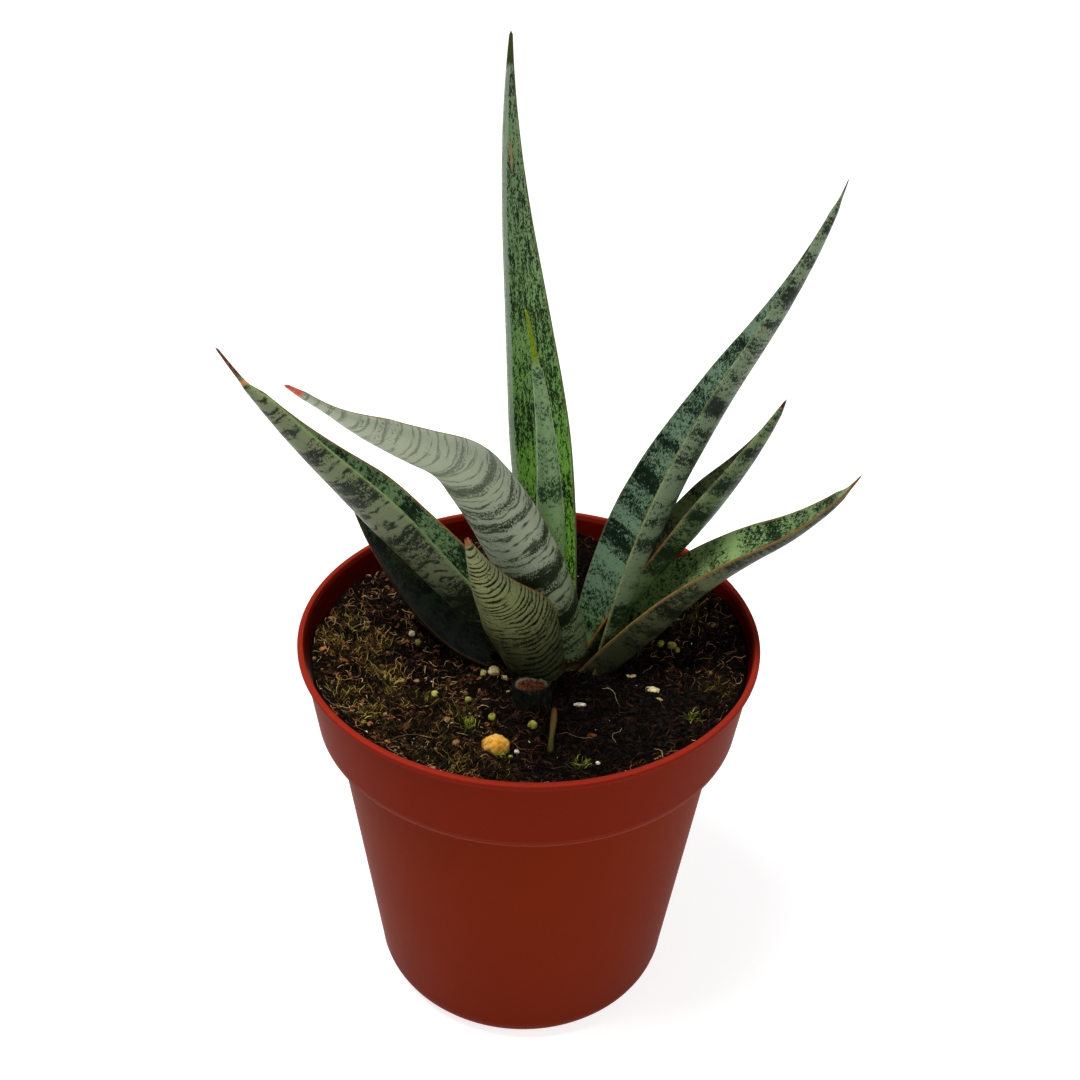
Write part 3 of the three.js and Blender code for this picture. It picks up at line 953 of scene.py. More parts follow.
@dataclass
class Leaf:
    """One channelled leaf. Lists run from the root to the tip, evenly spaced.

    lean is from upright, heading round from +X towards +Y, twist turns the blade about its length,
    fold is the angle that its section bends through. The last dry_length shrivels to dry_width.
    """

    node: str
    length: float
    lean: tuple[float, ...]
    heading: tuple[float, ...]
    twist: tuple[float, ...]
    width: float
    base_share: float
    widest_at: float
    taper: float
    fold: tuple[float, ...]
    skin: LeafSkin
    thickness: tuple[float, ...] = (3.0, 2.2, 1.0)
    dry_length: float = 0.0
    dry_width: float = 1.6
    dry_blend: float = 6.0
    ripple: float = 0.12
    smoothing: int = 24
    tip_width: float = 1.0
    tip_length: float = 0.8
    margin_share: float = 0.2
    thickness_share: float = 0.35
    rows: int = 280
    columns: int = 31
    spine_points: int = 400

    def _frames(self, t: np.ndarray) -> tuple[np.ndarray, np.ndarray, np.ndarray]:
        """Directions of the blade, from its lean, heading and twist.

        Args:
            t: Shares of the length.

        Returns:
            The direction of growth, across the blade and square to its face, each of shape (n, 3).
        """
        lean, heading = np.radians(along(self.lean, t)), np.radians(along(self.heading, t))
        twist = np.radians(along(self.twist, t))[:, None]
        forward = around(np.sin(lean), heading, np.cos(lean))
        flat = np.stack([-np.sin(heading), np.cos(heading), np.zeros_like(t)], -1)
        face = np.cross(forward, flat)
        side = np.cos(twist) * flat + np.sin(twist) * face
        up = np.cos(twist) * face - np.sin(twist) * flat
        return forward, side, up

    def _spine(self, t: np.ndarray) -> np.ndarray:
        """Middle line from the root, which sums the direction of growth in small steps.

        Args:
            t: Shares of the length.

        Returns:
            Points of shape (n, 3).
        """
        fine = np.linspace(0.0, 1.0, 4 * self.spine_points - 3)
        forward = self._frames(fine)[0]
        steps = (forward[1:] + forward[:-1]) / 2.0 * self.length / (len(fine) - 1)
        line = np.concatenate([np.zeros((1, 3)), np.cumsum(steps, 0)])[::4]
        even = np.linspace(0.0, 1.0, self.spine_points)
        return np.stack([np.interp(t, even, line[:, axis]) for axis in range(3)], -1)

    def _widths(self, t: np.ndarray) -> np.ndarray:
        """Width: swells as a quarter sine to the widest place, tapers by a power, smoothed by a bell.

        Args:
            t: Shares of the length.

        Returns:
            The width at each.
        """
        full = self.width - self.tip_width
        rise = np.sin(np.clip(t / self.widest_at, 0, 1) * math.pi / 2)
        swell = self.base_share + (1.0 - self.base_share) * rise
        past = np.clip((t - self.widest_at) / (1.0 - self.widest_at), TINY, 1.0)
        width = self.tip_width + full * np.where(t < self.widest_at, swell, 1.0 - past**self.taper)
        bell = np.exp(-(np.linspace(-2.0, 2.0, 2 * self.smoothing + 1) ** 2))
        padded = np.pad(width, self.smoothing, mode="reflect", reflect_type="odd")
        width = np.convolve(padded, bell / bell.sum(), mode="valid")
        if self.dry_length > 0.0:
            left = (1.0 - t) * self.length
            shrunk = self.dry_width * (0.45 + 0.55 * np.clip(left / self.dry_length, 0, 1))
            near_tip = fade(self.dry_length + self.dry_blend, self.dry_length - 1.2, left)
            width = width + (np.minimum(width, shrunk) - width) * near_tip
        return width

    def surface(self) -> tuple[np.ndarray, dict[str, np.ndarray]]:
        """Rings round the blade: an arc for each face, thick in the middle and thin at the edges.

        Returns:
            Points of shape (rows, 2 * columns, 3) from the root, and the marks that the skin reads.
        """
        t = np.linspace(0.0, 1.0, self.rows) ** 0.94
        _, side, up = self._frames(t)
        spine, width = self._spine(t), self._widths(t)[:, None]
        fold = np.radians(along(self.fold, t))[:, None]
        share = np.sin(np.linspace(-1.0, 1.0, self.columns) * math.pi / 2.0)
        share = np.concatenate([share, share[::-1]])
        inner = np.repeat([1.0, 0.0], self.columns)
        bend, angle = width / fold, fold / 2.0 * share
        middle = np.minimum(along(self.thickness, t)[:, None], self.thickness_share * width)
        half = middle * (1.0 - (1.0 - self.margin_share) * np.abs(share) ** 2.2) / 2.0
        half = half * (2.0 * inner - 1.0)
        length = (t * self.length)[:, None] + 0.0 * share
        across = share * width / 2.0
        spots = np.stack([across * 0.12, length * 0.09, 0.0 * across], -1)
        drift = self.ripple * layered_noise(spots, int(self.skin.seed)) * fade(0.0, 12.0, length)
        drift = drift * fade(0.0, 10.0, self.length - length) * np.minimum(1.0, width / 8.0)
        out = (bend - half) * np.sin(angle)
        rise = bend * (1.0 - np.cos(angle)) + half * np.cos(angle) + drift
        points = spine[:, None] + out[..., None] * side[:, None] + rise[..., None] * up[:, None]
        marks = {
            "along": length, "across": across, "inner": inner + 0.0 * across,
            "edge": (1.0 - np.abs(share)) * width / 2.0, "to_tip": self.length - length,
        }
        return points, marks

    def _settle(self, points: np.ndarray, tip: np.ndarray) -> np.ndarray:
        """Shift that brings the leaf's free end to the matching corner of its CAD solid's box.

        Args:
            points: Rings of the blade.
            tip: Its last point.

        Returns:
            The shift.
        """
        low, high = cad_box(self.node)
        outward = tip - points[0].mean(0)
        mesh_high = np.maximum(points.reshape(-1, 3).max(0), tip)
        mesh_low = np.minimum(points.reshape(-1, 3).min(0), tip)
        return np.where(outward > 0.0, high - mesh_high, low - mesh_low)

    def build(self) -> bpy.types.Object:
        """Builds and dresses the leaf. Squares across the section close its foot, a point its tip.

        Returns:
            The leaf.
        """
        points, marks = self.surface()
        end = np.array([1.0])
        tip = self._spine(end)[0] + self._frames(end)[0][0] * self.tip_length
        shift = self._settle(points, tip)
        rows, count = points.shape[:2]
        points = np.concatenate([points.reshape(-1, 3), tip[None]]) + shift
        ends = {"along": self.length, "across": 0.0, "inner": 1.0, "edge": 0.0, "to_tip": 0.0}
        marks = {key: np.append(values.ravel(), ends[key]) for key, values in marks.items()}
        this = np.arange(count // 2 - 1)
        facing = count - 1 - this
        foot = np.stack([this, this + 1, facing - 1, facing], -1)
        faces = [
            np.concatenate([skin_faces(rows, count)[:, ::-1], foot]),
            fan_faces((rows - 1) * count, count, rows * count)[:, ::-1],
        ]
        leaf = make_piece(self.node.replace("leaf", "blade"), points, faces, self.skin.material(), marks)
        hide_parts(self.node)
        "young_leaf" if "young" in self.node else "leaf"
        return leaf


def rosette() -> list[Leaf]:
    """The nine leaves, inner ones first.

    Returns:
        The leaves, each with its skin.
    """
    # Painted light: the young leaf's root tint is the saturated green glow of light through its channelled
    # base.
    young = LeafSkin(
        "young", 2.0, FaceLook((98, 130, 62), (48, 84, 34)),
        FaceLook((122, 148, 106), (52, 84, 44), -0.1, 1.1, 9.0, (0.8, 1.2), 1.5, 1.6, 0.4),
        left=(96, 118, 56), right=(166, 180, 130), margin_width=0.3, root_tint=(0.75, 1.05, 0.35, 1.0),
        root_reach=60.0, root_amount=0.8, tip=(130, 150, 20), tip_dark=(92, 116, 18), tip_reach=13.2)
    # Painted light: the root tint is the saturated green glow of light through and between the channelled
    # bases.
    tall = LeafSkin(
        "tall", 13.0,
        FaceLook((110, 134, 96), (20, 44, 16), -0.02, 1.0, 12.0, (0.8, 2.4), 2.1, 2.5, 1.1,
                 low_cover=0.02, low_reach=150.0),
        FaceLook((136, 150, 126), (50, 74, 50), 0.0, 1.3, 9.0),
        left=(88, 104, 56), right=(150, 164, 144), margin_width=0.26, root_tint=(0.64, 0.98, 0.17, 1.0),
        root_reach=125.0, root_amount=1.0, tip=(74, 84, 36), tip_dark=(44, 56, 22), tip_reach=7.0,
        strip=1.3, scar_at=25.0)
    # The root tint and low_cover darken the base, partly its olive colour and denser bands, partly painted
    # shade. Painted light pales the outer face towards the bend.
    arching = LeafSkin(
        "arching", 27.0, FaceLook((106, 126, 100), (40, 64, 46)),
        FaceLook((158, 166, 144), (50, 62, 42), -0.23, 2.5, 7.5, (2.6, 0.9), 1.2, 1.9, 0.0, 0.45, 3.4, 4.0,
                 line_width=0.22, low_cover=0.25, low_reach=78.0),
        left=(96, 84, 56), right=(104, 88, 54), margin_width=0.22, root_tint=(0.5, 0.6, 0.36, 1.0),
        root_reach=50.0, root_amount=0.9, bloom_from=66.0, tip=(206, 112, 90), tip_dark=(178, 84, 64),
        tip_reach=4.0)
    # Painted light: the negative low_cover lightens the inner face near the root, where it lies in shade.
    right = LeafSkin(
        "right", 41.0,
        FaceLook((98, 120, 98), (20, 42, 26), 0.02, 1.6, 5.2, (1.3, 1.0), 1.8, 2.2,
                 low_cover=-0.07, low_reach=44.0),
        FaceLook((110, 124, 98), (34, 50, 34), 0.0, 1.7, 5.6, (1.9, 0.9), 1.7, 2.0),
        left=(132, 140, 76), right=(60, 72, 44), right_strength=0.4, left_strength=0.55, left_reach=64.0,
        margin_width=0.18, root_reach=22.0, root_amount=0.8, tip=(120, 70, 44))
    # Painted shade: low_cover and shade_reach darken the outer face towards the root.
    left = LeafSkin(
        "left", 57.0, FaceLook((98, 122, 84), (26, 50, 28), 0.0, 1.0, 6.0, (1.1, 1.6), 2.0, 1.9),
        FaceLook((112, 121, 90), (34, 46, 26), -0.11, 1.9, 7.0, (2.8, 0.9), 1.5, 1.9, 0.0, 0.55, 3.4, 4.0,
                 line_width=0.26, low_cover=0.2, low_reach=62.0),
        left=(166, 104, 34), right=(124, 150, 92), margin_width=0.34, tip=(128, 84, 52),
        tip_dark=(66, 46, 32), tip_reach=8.0, tip_glow=1.6, shade_reach=50.0)
    # Painted light: the inner face's pale colour is lightened, as it lies in shade.
    middle = LeafSkin(
        "middle", 71.0, FaceLook((124, 138, 84), (40, 60, 30), -0.02, 1.5, 5.6, (1.3, 1.2), 1.8, 1.9),
        FaceLook((100, 114, 78), (34, 52, 30), 0.02, 1.5, 5.6, (1.6, 1.0), 1.8, 1.9),
        left=(160, 100, 44), left_reach=46.0, right=(104, 84, 44), margin_width=0.24,
        tip=(96, 46, 34), tip_dark=(60, 34, 24), tip_reach=1.6)
    front = LeafSkin(
        "front", 83.0, FaceLook((96, 122, 78), (36, 58, 34)),
        FaceLook((128, 134, 90), (22, 28, 8), -0.19, 0.7, 9.0, (2.0, 1.0), 1.4, 1.9, 0.0, 1.0, 2.3, 7.0,
                 line_width=0.24, low_cover=0.08, low_reach=44.0),
        left=(96, 108, 50), right=(150, 84, 30), margin_width=0.34, tip=(160, 108, 62),
        tip_dark=(104, 60, 34), tip_reach=2.8, shade_reach=34.0)
    # Painted light: the root tint brightens both faces near the root and the negative low_cover the inner
    # face, where they lie in shade. The dark outer face is painted shade on the underside.
    low_right = LeafSkin(
        "low_right", 97.0,
        FaceLook((106, 128, 86), (28, 48, 28), 0.01, 1.7, 5.2, (1.2, 1.0), 1.9, 2.2,
                 low_cover=-0.14, low_reach=66.0),
        FaceLook((74, 80, 57), (24, 30, 18), 0.02, 1.5, 6.0, (2.0, 1.1), 1.7, 1.9),
        root_tint=(2.1, 2.0, 1.75, 1.0), root_reach=66.0, root_amount=1.0, left=(132, 92, 44),
        right=(140, 100, 50), margin_width=0.27, tip=(150, 84, 46), tip_reach=3.4, shade_reach=46.0)
    # Painted shade: the whole leaf is coloured a near black green, as it lies in shade under the wide left
    # leaf, with almost no edge highlight.
    low_left = LeafSkin(
        "low_left", 109.0, FaceLook((40, 56, 34), (10, 20, 10), 0.02),
        FaceLook((36, 50, 32), (9, 17, 9), 0.02, 1.7, 6.0, (2.0, 1.2), 1.7, 1.9), edge_highlight=0.03,
        left=(26, 30, 16), right=(96, 34, 22), right_strength=0.3, margin_width=0.3,
        tip=(126, 40, 28), tip_dark=(80, 30, 22), tip_reach=2.4, shade_reach=40.0, root_amount=0.3)
    return [
        Leaf("leaf_young_centre", 98, (5, 7, 15), (262, 228), (6, 0), 10.5, 0.6, 0.38, 1.0, (199, 234), young,
             dry_length=13.4, dry_width=2.0, dry_blend=1.5),
        Leaf("leaf_tall_back", 142, (21, 20, 16, -4), (102, 127), (-7, 7), 15.5, 0.63, 0.39, 1.1, (78, 70),
             tall, thickness=(3.0, 2.5, 1.2)),
        Leaf("leaf_arching_left", 152, (19, 29, 54, 47), (218, 252, 234), (29, 39), 21, 0.6, 0.25, 1.5,
             (160, 180), arching, dry_length=4.4, dry_width=1.7, dry_blend=24.0),
        Leaf("leaf_tall_right", 126, (17, 23, 28, 13), (36, -10), (-12, -12), 25.5, 0.62, 0.34, 1.3,
             (149, 132), right, dry_length=2.5, dry_width=0.9, dry_blend=5.0),
        Leaf("leaf_wide_left", 106, (36, 42, 38, 29), (179, 188), (-1, 27), 28.5, 0.66, 0.54, 0.96,
             (175, 136), left, dry_length=8.0, dry_width=2.1, dry_blend=7.0),
        Leaf("leaf_mid_right", 82, (31, 37, 17), (15, -12), (-6, -18), 21.5, 0.6, 0.62, 1.08, (129, 122),
             middle),
        Leaf("leaf_short_front", 83, (20, 41, 32), (244, 255), (39, 39), 19, 0.71, 0.36, 0.87, (114, 150),
             front),
        Leaf("leaf_low_right", 82.5, (47, 36, 50, 26), (3, -26), (-17, 12), 26.5, 0.57, 0.32, 1.06,
             (163, 101), low_right, dry_length=3.6, dry_width=1.4, dry_blend=4.0),
        Leaf("leaf_low_left", 56.5, (78, 44, 36), (177, 142), (-1, 7), 19, 0.6, 0.3, 0.8, (110, 70),
             low_left),
    ]


# ---------------------------------------------------------------- potting mix and what lies on it


@dataclass(frozen=True)
class Litter:
    """One kind of small lump, strewn evenly over the mix.

    Sizes are even within limits, or spread as a bell in their logarithm by log_size and clipped
    to limits. flat squashes a lump along its axes and stretch varies them. A higher dark makes
    bright lumps rarer, and shaded ones are darker on the right side as painted shade under the
    low right leaf.
    """

    name: str
    count: int
    limits: Span
    stretch: Span
    stops: Stops
    log_size: Span | None = None
    flat: tuple[float, float, float] = (1.0, 1.0, 1.0)
    dark: float = 1.0
    shaded: bool = True
    grain: float = 0.5


CRUMBS = Litter(
    "crumbs", 6500, (0.12, 1.25), (0.5, 1.4),
    ((0.0, (7, 5, 3)), (0.45, (20, 13, 8)), (0.75, (66, 42, 25)), (1.0, (158, 120, 76))),
    log_size=(-1.15, 0.5), dark=1.5)
BARK = Litter(
    "bark", 640, (0.4, 1.6), (0.7, 1.3),
    ((0.0, (14, 9, 6)), (0.45, (56, 32, 18)), (0.8, (116, 66, 34)), (1.0, (176, 118, 66))),
    flat=(1.0, 0.5, 0.18), dark=1.2)
GRIT = Litter(
    "grit", 150, (0.1, 0.5), (0.7, 1.2),
    ((0.0, (108, 106, 40)), (0.35, (150, 136, 92)), (0.7, (196, 188, 164)), (1.0, (240, 236, 226))),
    log_size=(-1.6, 0.4), shaded=False, grain=0.2)


class Stance(Enum):
    """How a strand is held: along the mix in a low arch, or rising to its tip."""

    LYING = "lying"
    STANDING = "standing"


@dataclass(frozen=True)
class Strands:
    """One kind of thin curved strand. curl is how far its heading turns, in radians."""

    finish: TintFinish
    stance: Stance
    length: Span
    radius: Span
    lift: Span
    curl: float
    steps: int


FIBRES = Strands(
    TintFinish("fibres", (
        (0.0, (16, 10, 6)), (0.35, (58, 34, 18)), (0.65, (124, 82, 44)), (0.85, (172, 124, 66)),
        (1.0, (216, 180, 122))), roughness=0.6, grain=0.45),
    Stance.LYING, (0.8, 4.6), (0.04, 0.11), (0.0, 0.7), 2.4, 6)
MOSS = Strands(
    TintFinish("moss", (
        (0.0, (14, 11, 4)), (0.35, (46, 37, 12)), (0.6, (104, 90, 34)), (0.8, (180, 156, 66)),
        (1.0, (220, 200, 116))), roughness=0.65, grain=0.25),
    Stance.STANDING, (0.6, 2.4), (0.045, 0.1), (0.1, 1.9), 1.8, 5)
ROOT_HAIRS = Strands(
    TintFinish("root_hairs", (
        (0.0, (120, 100, 66)), (0.5, (166, 148, 108)), (1.0, (206, 194, 164))), roughness=0.55, grain=0.2),
    Stance.LYING, (6.0, 15.0), (0.05, 0.09), (0.4, 1.6), 0.9, 18)
SPROUTS = Strands(
    TintFinish("sprouts", (
        (0.0, (50, 62, 16)), (0.5, (104, 118, 32)), (1.0, (182, 184, 78))), roughness=0.55, grain=0.4),
    Stance.STANDING, (0.8, 2.0), (0.07, 0.14), (0.4, 1.6), 1.2, 5)


@dataclass
class PottingMix:
    """Uneven surface of the mix with crumbs, bark, fibres, moss and grit on it."""

    pot: NurseryPot
    drop: float = 8.0
    edge_rise: float = 5.0
    dip: float = 3.0
    dip_bearing: float = 130.0
    ripple: float = 0.6
    gap: float = 0.3
    roughness: float = 1.25
    rings: int = 150
    segments: int = 400
    fibre_count: int = 5600
    mat_strands: int = 170
    root_hair_count: int = 18
    tuft_strands: int = 44
    seed: int = 41

    def __post_init__(self) -> None:
        """Takes the level from the pot."""
        self.level = self.pot.height - self.drop
        self.edge = self.pot.collar_top - self.pot.wall - self.gap
        self.random = np.random.default_rng(self.seed)

    def smooth_height(self, x: np.ndarray, y: np.ndarray) -> np.ndarray:
        """Level in the middle, drawn up by the cube of the reach, least at the back left, rippled.

        Args:
            x: Places along X.
            y: Places along Y.

        Returns:
            Heights above the floor.
        """
        reach = np.minimum(1.0, np.hypot(x, y) / self.edge)
        away = np.maximum(0.0, np.cos(np.arctan2(y, x) - math.radians(self.dip_bearing)))
        rise = (self.edge_rise - self.dip * away) * reach**3
        ripple = np.sin(x / 4.1 + 0.7) * np.cos(y / 3.7 - 0.4) + 0.6 * np.sin((x + y) / 2.9)
        return self.level + rise + self.ripple * ripple * (1.0 - 0.5 * reach)

    def height(self, x: np.ndarray, y: np.ndarray) -> np.ndarray:
        """The smooth height with clods and grit added as layered noise."""
        clods = layered_noise(np.stack([x, y, 0.0 * x], -1) * 0.3, self.seed, 5)
        return self.smooth_height(x, y) + self.roughness * (clods - 0.3)

    def _rim_reach(self, angle: np.ndarray) -> np.ndarray:
        """Distance from the axis at which the surface meets the wall."""
        guess = self.smooth_height(self.edge * np.cos(angle), self.edge * np.sin(angle))
        return self.pot.inner_radius(guess) - 0.05

    def build(self) -> list[bpy.types.Object]:
        """Builds the mass of mix and everything loose on it.

        Returns:
            The new pieces.
        """
        pieces = [self._mass(), *(self._litter(kind) for kind in (CRUMBS, BARK, GRIT)), self._chips()]
        pieces += [self._fibres(), self._moss(), self._root_hairs(), self._sprouts()]
        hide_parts("potting_mix")
        return pieces

    def _mass(self) -> bpy.types.Object:
        """The mass itself: a rough top over plain walls that follow the pot's inside.

        Returns:
            The piece.
        """
        pot, angle = self.pot, circle(self.segments)
        reach = np.linspace(1.0, 0.004, self.rings)[:, None] * self._rim_reach(angle)
        top = around(reach, angle, self.height(reach * np.cos(angle), reach * np.sin(angle)))
        inset = pot.wall + self.gap
        foot, corner = pot.foot - inset, pot.foot_corner
        walls = np.array([
            [foot - corner * 0.8, pot.floor + self.gap], [foot - corner * 0.2, pot.floor + corner * 0.3],
            [foot, pot.floor + corner], [pot.body_top - inset, pot.band_foot - pot.wall],
            [pot.collar_foot - inset, pot.band_foot + self.gap],
        ])
        rings = np.concatenate([around(walls[:, :1], angle, walls[:, 1:]), top])
        points = close(rings, (0.0, 0.0, walls[0, 1]), top[-1].mean(0))
        return make_piece("mix_mass", points, closed_faces(len(rings), self.segments), MixFinish().material())

    def _scatter(self, count: int, power: float = 0.5) -> np.ndarray:
        """Random places on the mix.

        Args:
            count: How many.
            power: A half is even over the area, and less crowds them to the wall.

        Returns:
            Places of shape (count, 2).
        """
        angle = self.random.uniform(0.0, FULL_TURN, count)
        reach = (self._rim_reach(angle) - 0.6) * self.random.uniform(0.0, 1.0, count) ** power
        return np.stack([reach * np.cos(angle), reach * np.sin(angle)], -1)

    def _spots(self, bearings: np.ndarray, shares: np.ndarray) -> np.ndarray:
        """Places of shape (n, 2) at bearings and shares of the reach to the wall."""
        return around(self.edge * shares, np.radians(bearings), 0.0)[:, :2]

    def _tufts(self, rows: np.ndarray, each: int, spread: float) -> np.ndarray:
        """Places of shape (n * each, 2) in a bell round each row's bearing and share of the reach."""
        centres = np.repeat(self._spots(rows[:, 0], rows[:, 1]), each, 0)
        return centres + self.random.normal(0.0, spread, centres.shape)

    def _shade(self, x: np.ndarray) -> np.ndarray:
        """How bright bits may be: 1 on the left, less than half on the right side, as painted shade under the
        low right leaf.
        """
        return 0.42 + 0.58 * fade(12.0, -18.0, x)

    def _turns(self, number: int, tilt: float = 0.5) -> np.ndarray:
        """Random turns: any angle about Z, then a tilt about X.

        Args:
            number: How many turns.
            tilt: Spread of the tilt, in radians.

        Returns:
            Matrices of shape (number, 3, 3).
        """
        spin = self.random.uniform(0.0, FULL_TURN, number)
        lean = self.random.normal(0.0, tilt, number)
        zero, one = np.zeros(number), np.ones(number)
        about_z = [np.cos(spin), -np.sin(spin), zero, np.sin(spin), np.cos(spin), zero, zero, zero, one]
        about_x = [one, zero, zero, zero, np.cos(lean), -np.sin(lean), zero, np.sin(lean), np.cos(lean)]
        about_z, about_x = (np.stack(parts, -1).reshape(-1, 3, 3) for parts in (about_z, about_x))
        return np.matmul(about_x, about_z)

    def _lumps(
        self, places: np.ndarray, sizes: np.ndarray, tint: np.ndarray, finish: TintFinish
    ) -> bpy.types.Object:
        """Many small uneven lumps as one piece.

        Each is a twenty-faced solid with its corners pushed in and out, squashed, turned and laid
        with its middle a little above the mix.

        Args:
            places: Places of shape (n, 2).
            sizes: Half lengths of shape (n, 3).
            tint: One number for each lump.
            finish: Their finish, whose name the piece takes.

        Returns:
            The piece.
        """
        golden = (1.0 + math.sqrt(5.0)) / 2.0
        corners = np.array([
            (-1, golden, 0), (1, golden, 0), (-1, -golden, 0), (1, -golden, 0),
            (0, -1, golden), (0, 1, golden), (0, -1, -golden), (0, 1, -golden),
            (golden, 0, -1), (golden, 0, 1), (-golden, 0, -1), (-golden, 0, 1),
        ]) / math.hypot(1.0, golden)
        cells = np.array([
            (0, 11, 5), (0, 5, 1), (0, 1, 7), (0, 7, 10), (0, 10, 11), (1, 5, 9), (5, 11, 4), (11, 10, 2),
            (10, 7, 6), (7, 1, 8), (3, 9, 4), (3, 4, 2), (3, 2, 6), (3, 6, 8), (3, 8, 9), (4, 9, 5),
            (2, 4, 11), (6, 2, 10), (8, 6, 7), (9, 8, 1),
        ])
        number, (x, y) = len(places), places.T
        local = corners * self.random.uniform(0.7, 1.15, (number, 12, 1)) * sizes[:, None]
        local = np.einsum("nij,nkj->nki", self._turns(number), local)
        points = local + np.stack([x, y, self.height(x, y) + 0.25 * sizes[:, 2]], -1)[:, None]
        faces = (cells[None] + 12 * np.arange(number)[:, None, None]).reshape(-1, 3)
        marks = {"tint": np.repeat(tint, 12)}
        return make_piece("mix_" + finish.name, points, [faces], finish.material(), marks, smooth=False)

    def _litter(self, kind: Litter) -> bpy.types.Object:
        """Strews one kind of lump.

        Args:
            kind: The kind.

        Returns:
            The piece.
        """
        places = self._scatter(kind.count)
        if kind.log_size is None:
            size = self.random.uniform(*kind.limits, kind.count)
        else:
            size = np.exp(self.random.normal(*kind.log_size, kind.count)).clip(*kind.limits)
        sizes = size[:, None] * np.array(kind.flat) * self.random.uniform(*kind.stretch, (kind.count, 3))
        tint = self.random.uniform(0, 1, kind.count) ** kind.dark
        if kind.shaded:
            tint = tint * self._shade(places[:, 0])
        return self._lumps(places, sizes, tint, TintFinish(kind.name, kind.stops, grain=kind.grain))

    def _chips(self) -> bpy.types.Object:
        """Separate larger bits: pale lumps by the clump, rusty chips, a cream flake, pellet halves.

        Each row is a bearing, a share of the reach to the wall, three half lengths and a tint, from
        rust through cream to green.

        Returns:
            The piece.
        """
        bits = np.array([
            (238.0, 0.20, 1.2, 1.0, 0.9, 0.52), (215.0, 0.25, 0.9, 0.9, 0.8, 0.45),
            (251.0, 0.27, 0.6, 0.5, 0.5, 0.55), (296.0, 0.64, 1.4, 1.0, 0.7, 0.05),
            (225.0, 0.65, 1.3, 0.8, 0.6, 0.1), (343.0, 0.49, 1.5, 0.9, 0.5, 0.5),
            (8.0, 0.62, 1.1, 1.1, 0.9, 0.8), (4.0, 0.69, 1.0, 0.9, 0.8, 0.78),
            (216.0, 0.55, 0.9, 0.8, 0.6, 0.95), (265.0, 0.74, 0.8, 0.6, 0.6, 0.75),
            (219.0, 0.9, 1.0, 0.8, 0.4, 0.85), (350.0, 0.84, 0.9, 0.6, 0.5, 0.3),
            (12.0, 0.88, 1.1, 0.6, 0.5, 0.28), (332.0, 0.66, 1.2, 0.5, 0.4, 0.35),
            (30.0, 0.72, 0.9, 0.7, 0.6, 0.42), (60.0, 0.6, 1.2, 0.8, 0.6, 0.2),
            (120.0, 0.62, 1.3, 0.9, 0.6, 0.3), (95.0, 0.75, 1.0, 0.8, 0.6, 0.5),
        ])
        finish = TintFinish("chips", (
            (0.0, (126, 60, 26)), (0.2, (120, 80, 44)), (0.45, (172, 158, 104)), (0.6, (196, 190, 130)),
            (0.78, (140, 146, 48)), (1.0, (104, 126, 20))), grain=0.3)
        return self._lumps(self._spots(bits[:, 0], bits[:, 1]), bits[:, 2:5], bits[:, 5], finish)

    def _strands(
        self, kind: Strands, starts: np.ndarray, lengths: np.ndarray, radii: np.ndarray,
        lift: np.ndarray, tint: np.ndarray,
    ) -> bpy.types.Object:
        """Many thin curved strands as one piece.

        Each runs over the mix as a line whose heading turns steadily with a small wave, held inside
        the wall, with a three-sided section that narrows with the square of the way along it.

        Args:
            kind: What the strands are.
            starts: Where they begin, of shape (n, 2).
            lengths: Their lengths.
            radii: Their radii.
            lift: Height of each arch or of each standing tip.
            tint: One number for each strand.

        Returns:
            The piece.
        """
        number, steps, column = len(starts), kind.steps, (len(starts), 1)
        s = np.linspace(0.0, 1.0, steps)[None, :]
        heading = self.random.uniform(0, FULL_TURN, column) + self.random.normal(0, kind.curl, column) * s
        heading = heading + 0.5 * np.sin(7.0 * s + self.random.uniform(0, 6, column))
        step = (lengths / (steps - 1))[:, None]
        x = starts[:, :1] + np.cumsum(np.cos(heading) * step, 1)
        y = starts[:, 1:] + np.cumsum(np.sin(heading) * step, 1)
        pull = np.minimum(1.0, (self._rim_reach(np.arctan2(y, x)) - 0.5) / np.hypot(x, y))
        x, y = x * pull, y * pull
        arch = s**0.8 if kind.stance is Stance.STANDING else np.sin(math.pi * s)
        z = self.height(x, y) + radii[:, None] + lift[:, None] * arch + 0.1
        points = sweep(np.stack([x, y, z], -1), radii[:, None] * (1.0 - 0.6 * s**2), 3)
        caps = np.array([[0, 2, 1], np.arange(3) + 3 * (steps - 1)])
        base = 3 * steps * np.arange(number)[:, None, None]
        faces = [(skin_faces(steps, 3) + base).reshape(-1, 4), (caps + base).reshape(-1, 3)]
        marks = {"tint": np.repeat(tint, 3 * steps)}
        return make_piece("mix_" + kind.finish.name, points, faces, kind.finish.material(), marks)

    def _fibres(self) -> bpy.types.Object:
        """Coir and peat fibres, painted lighter on the left and at the wall, and on a patch at the right
        front where pale fibres lie and painted light adds to them.

        Returns:
            The piece.
        """
        count = self.fibre_count
        starts = self._scatter(count, 0.42)
        lengths = self.random.uniform(*FIBRES.length, count)
        radii = self.random.uniform(*FIBRES.radius, count)
        x, y = starts.T
        # Painted light: fibres are brighter at the wall and on the left, the right side being in painted
        # shade.
        wall = fade(0.84, 0.97, np.hypot(x, y) / self.edge)
        # Pale fibres at the right front, raised further as painted light where they lie in shade.
        pale_patch_and_light = 1.1 * fade(14.0, 34.0, x) * fade(-22.0, -4.0, y)
        bright = np.maximum.reduce([1.12 * self._shade(x), wall, pale_patch_and_light])
        tint = self.random.uniform(0, 1, count) ** 1.5 * bright
        lift = self.random.uniform(*FIBRES.lift, count)
        return self._strands(FIBRES, starts, lengths, radii, lift, tint)

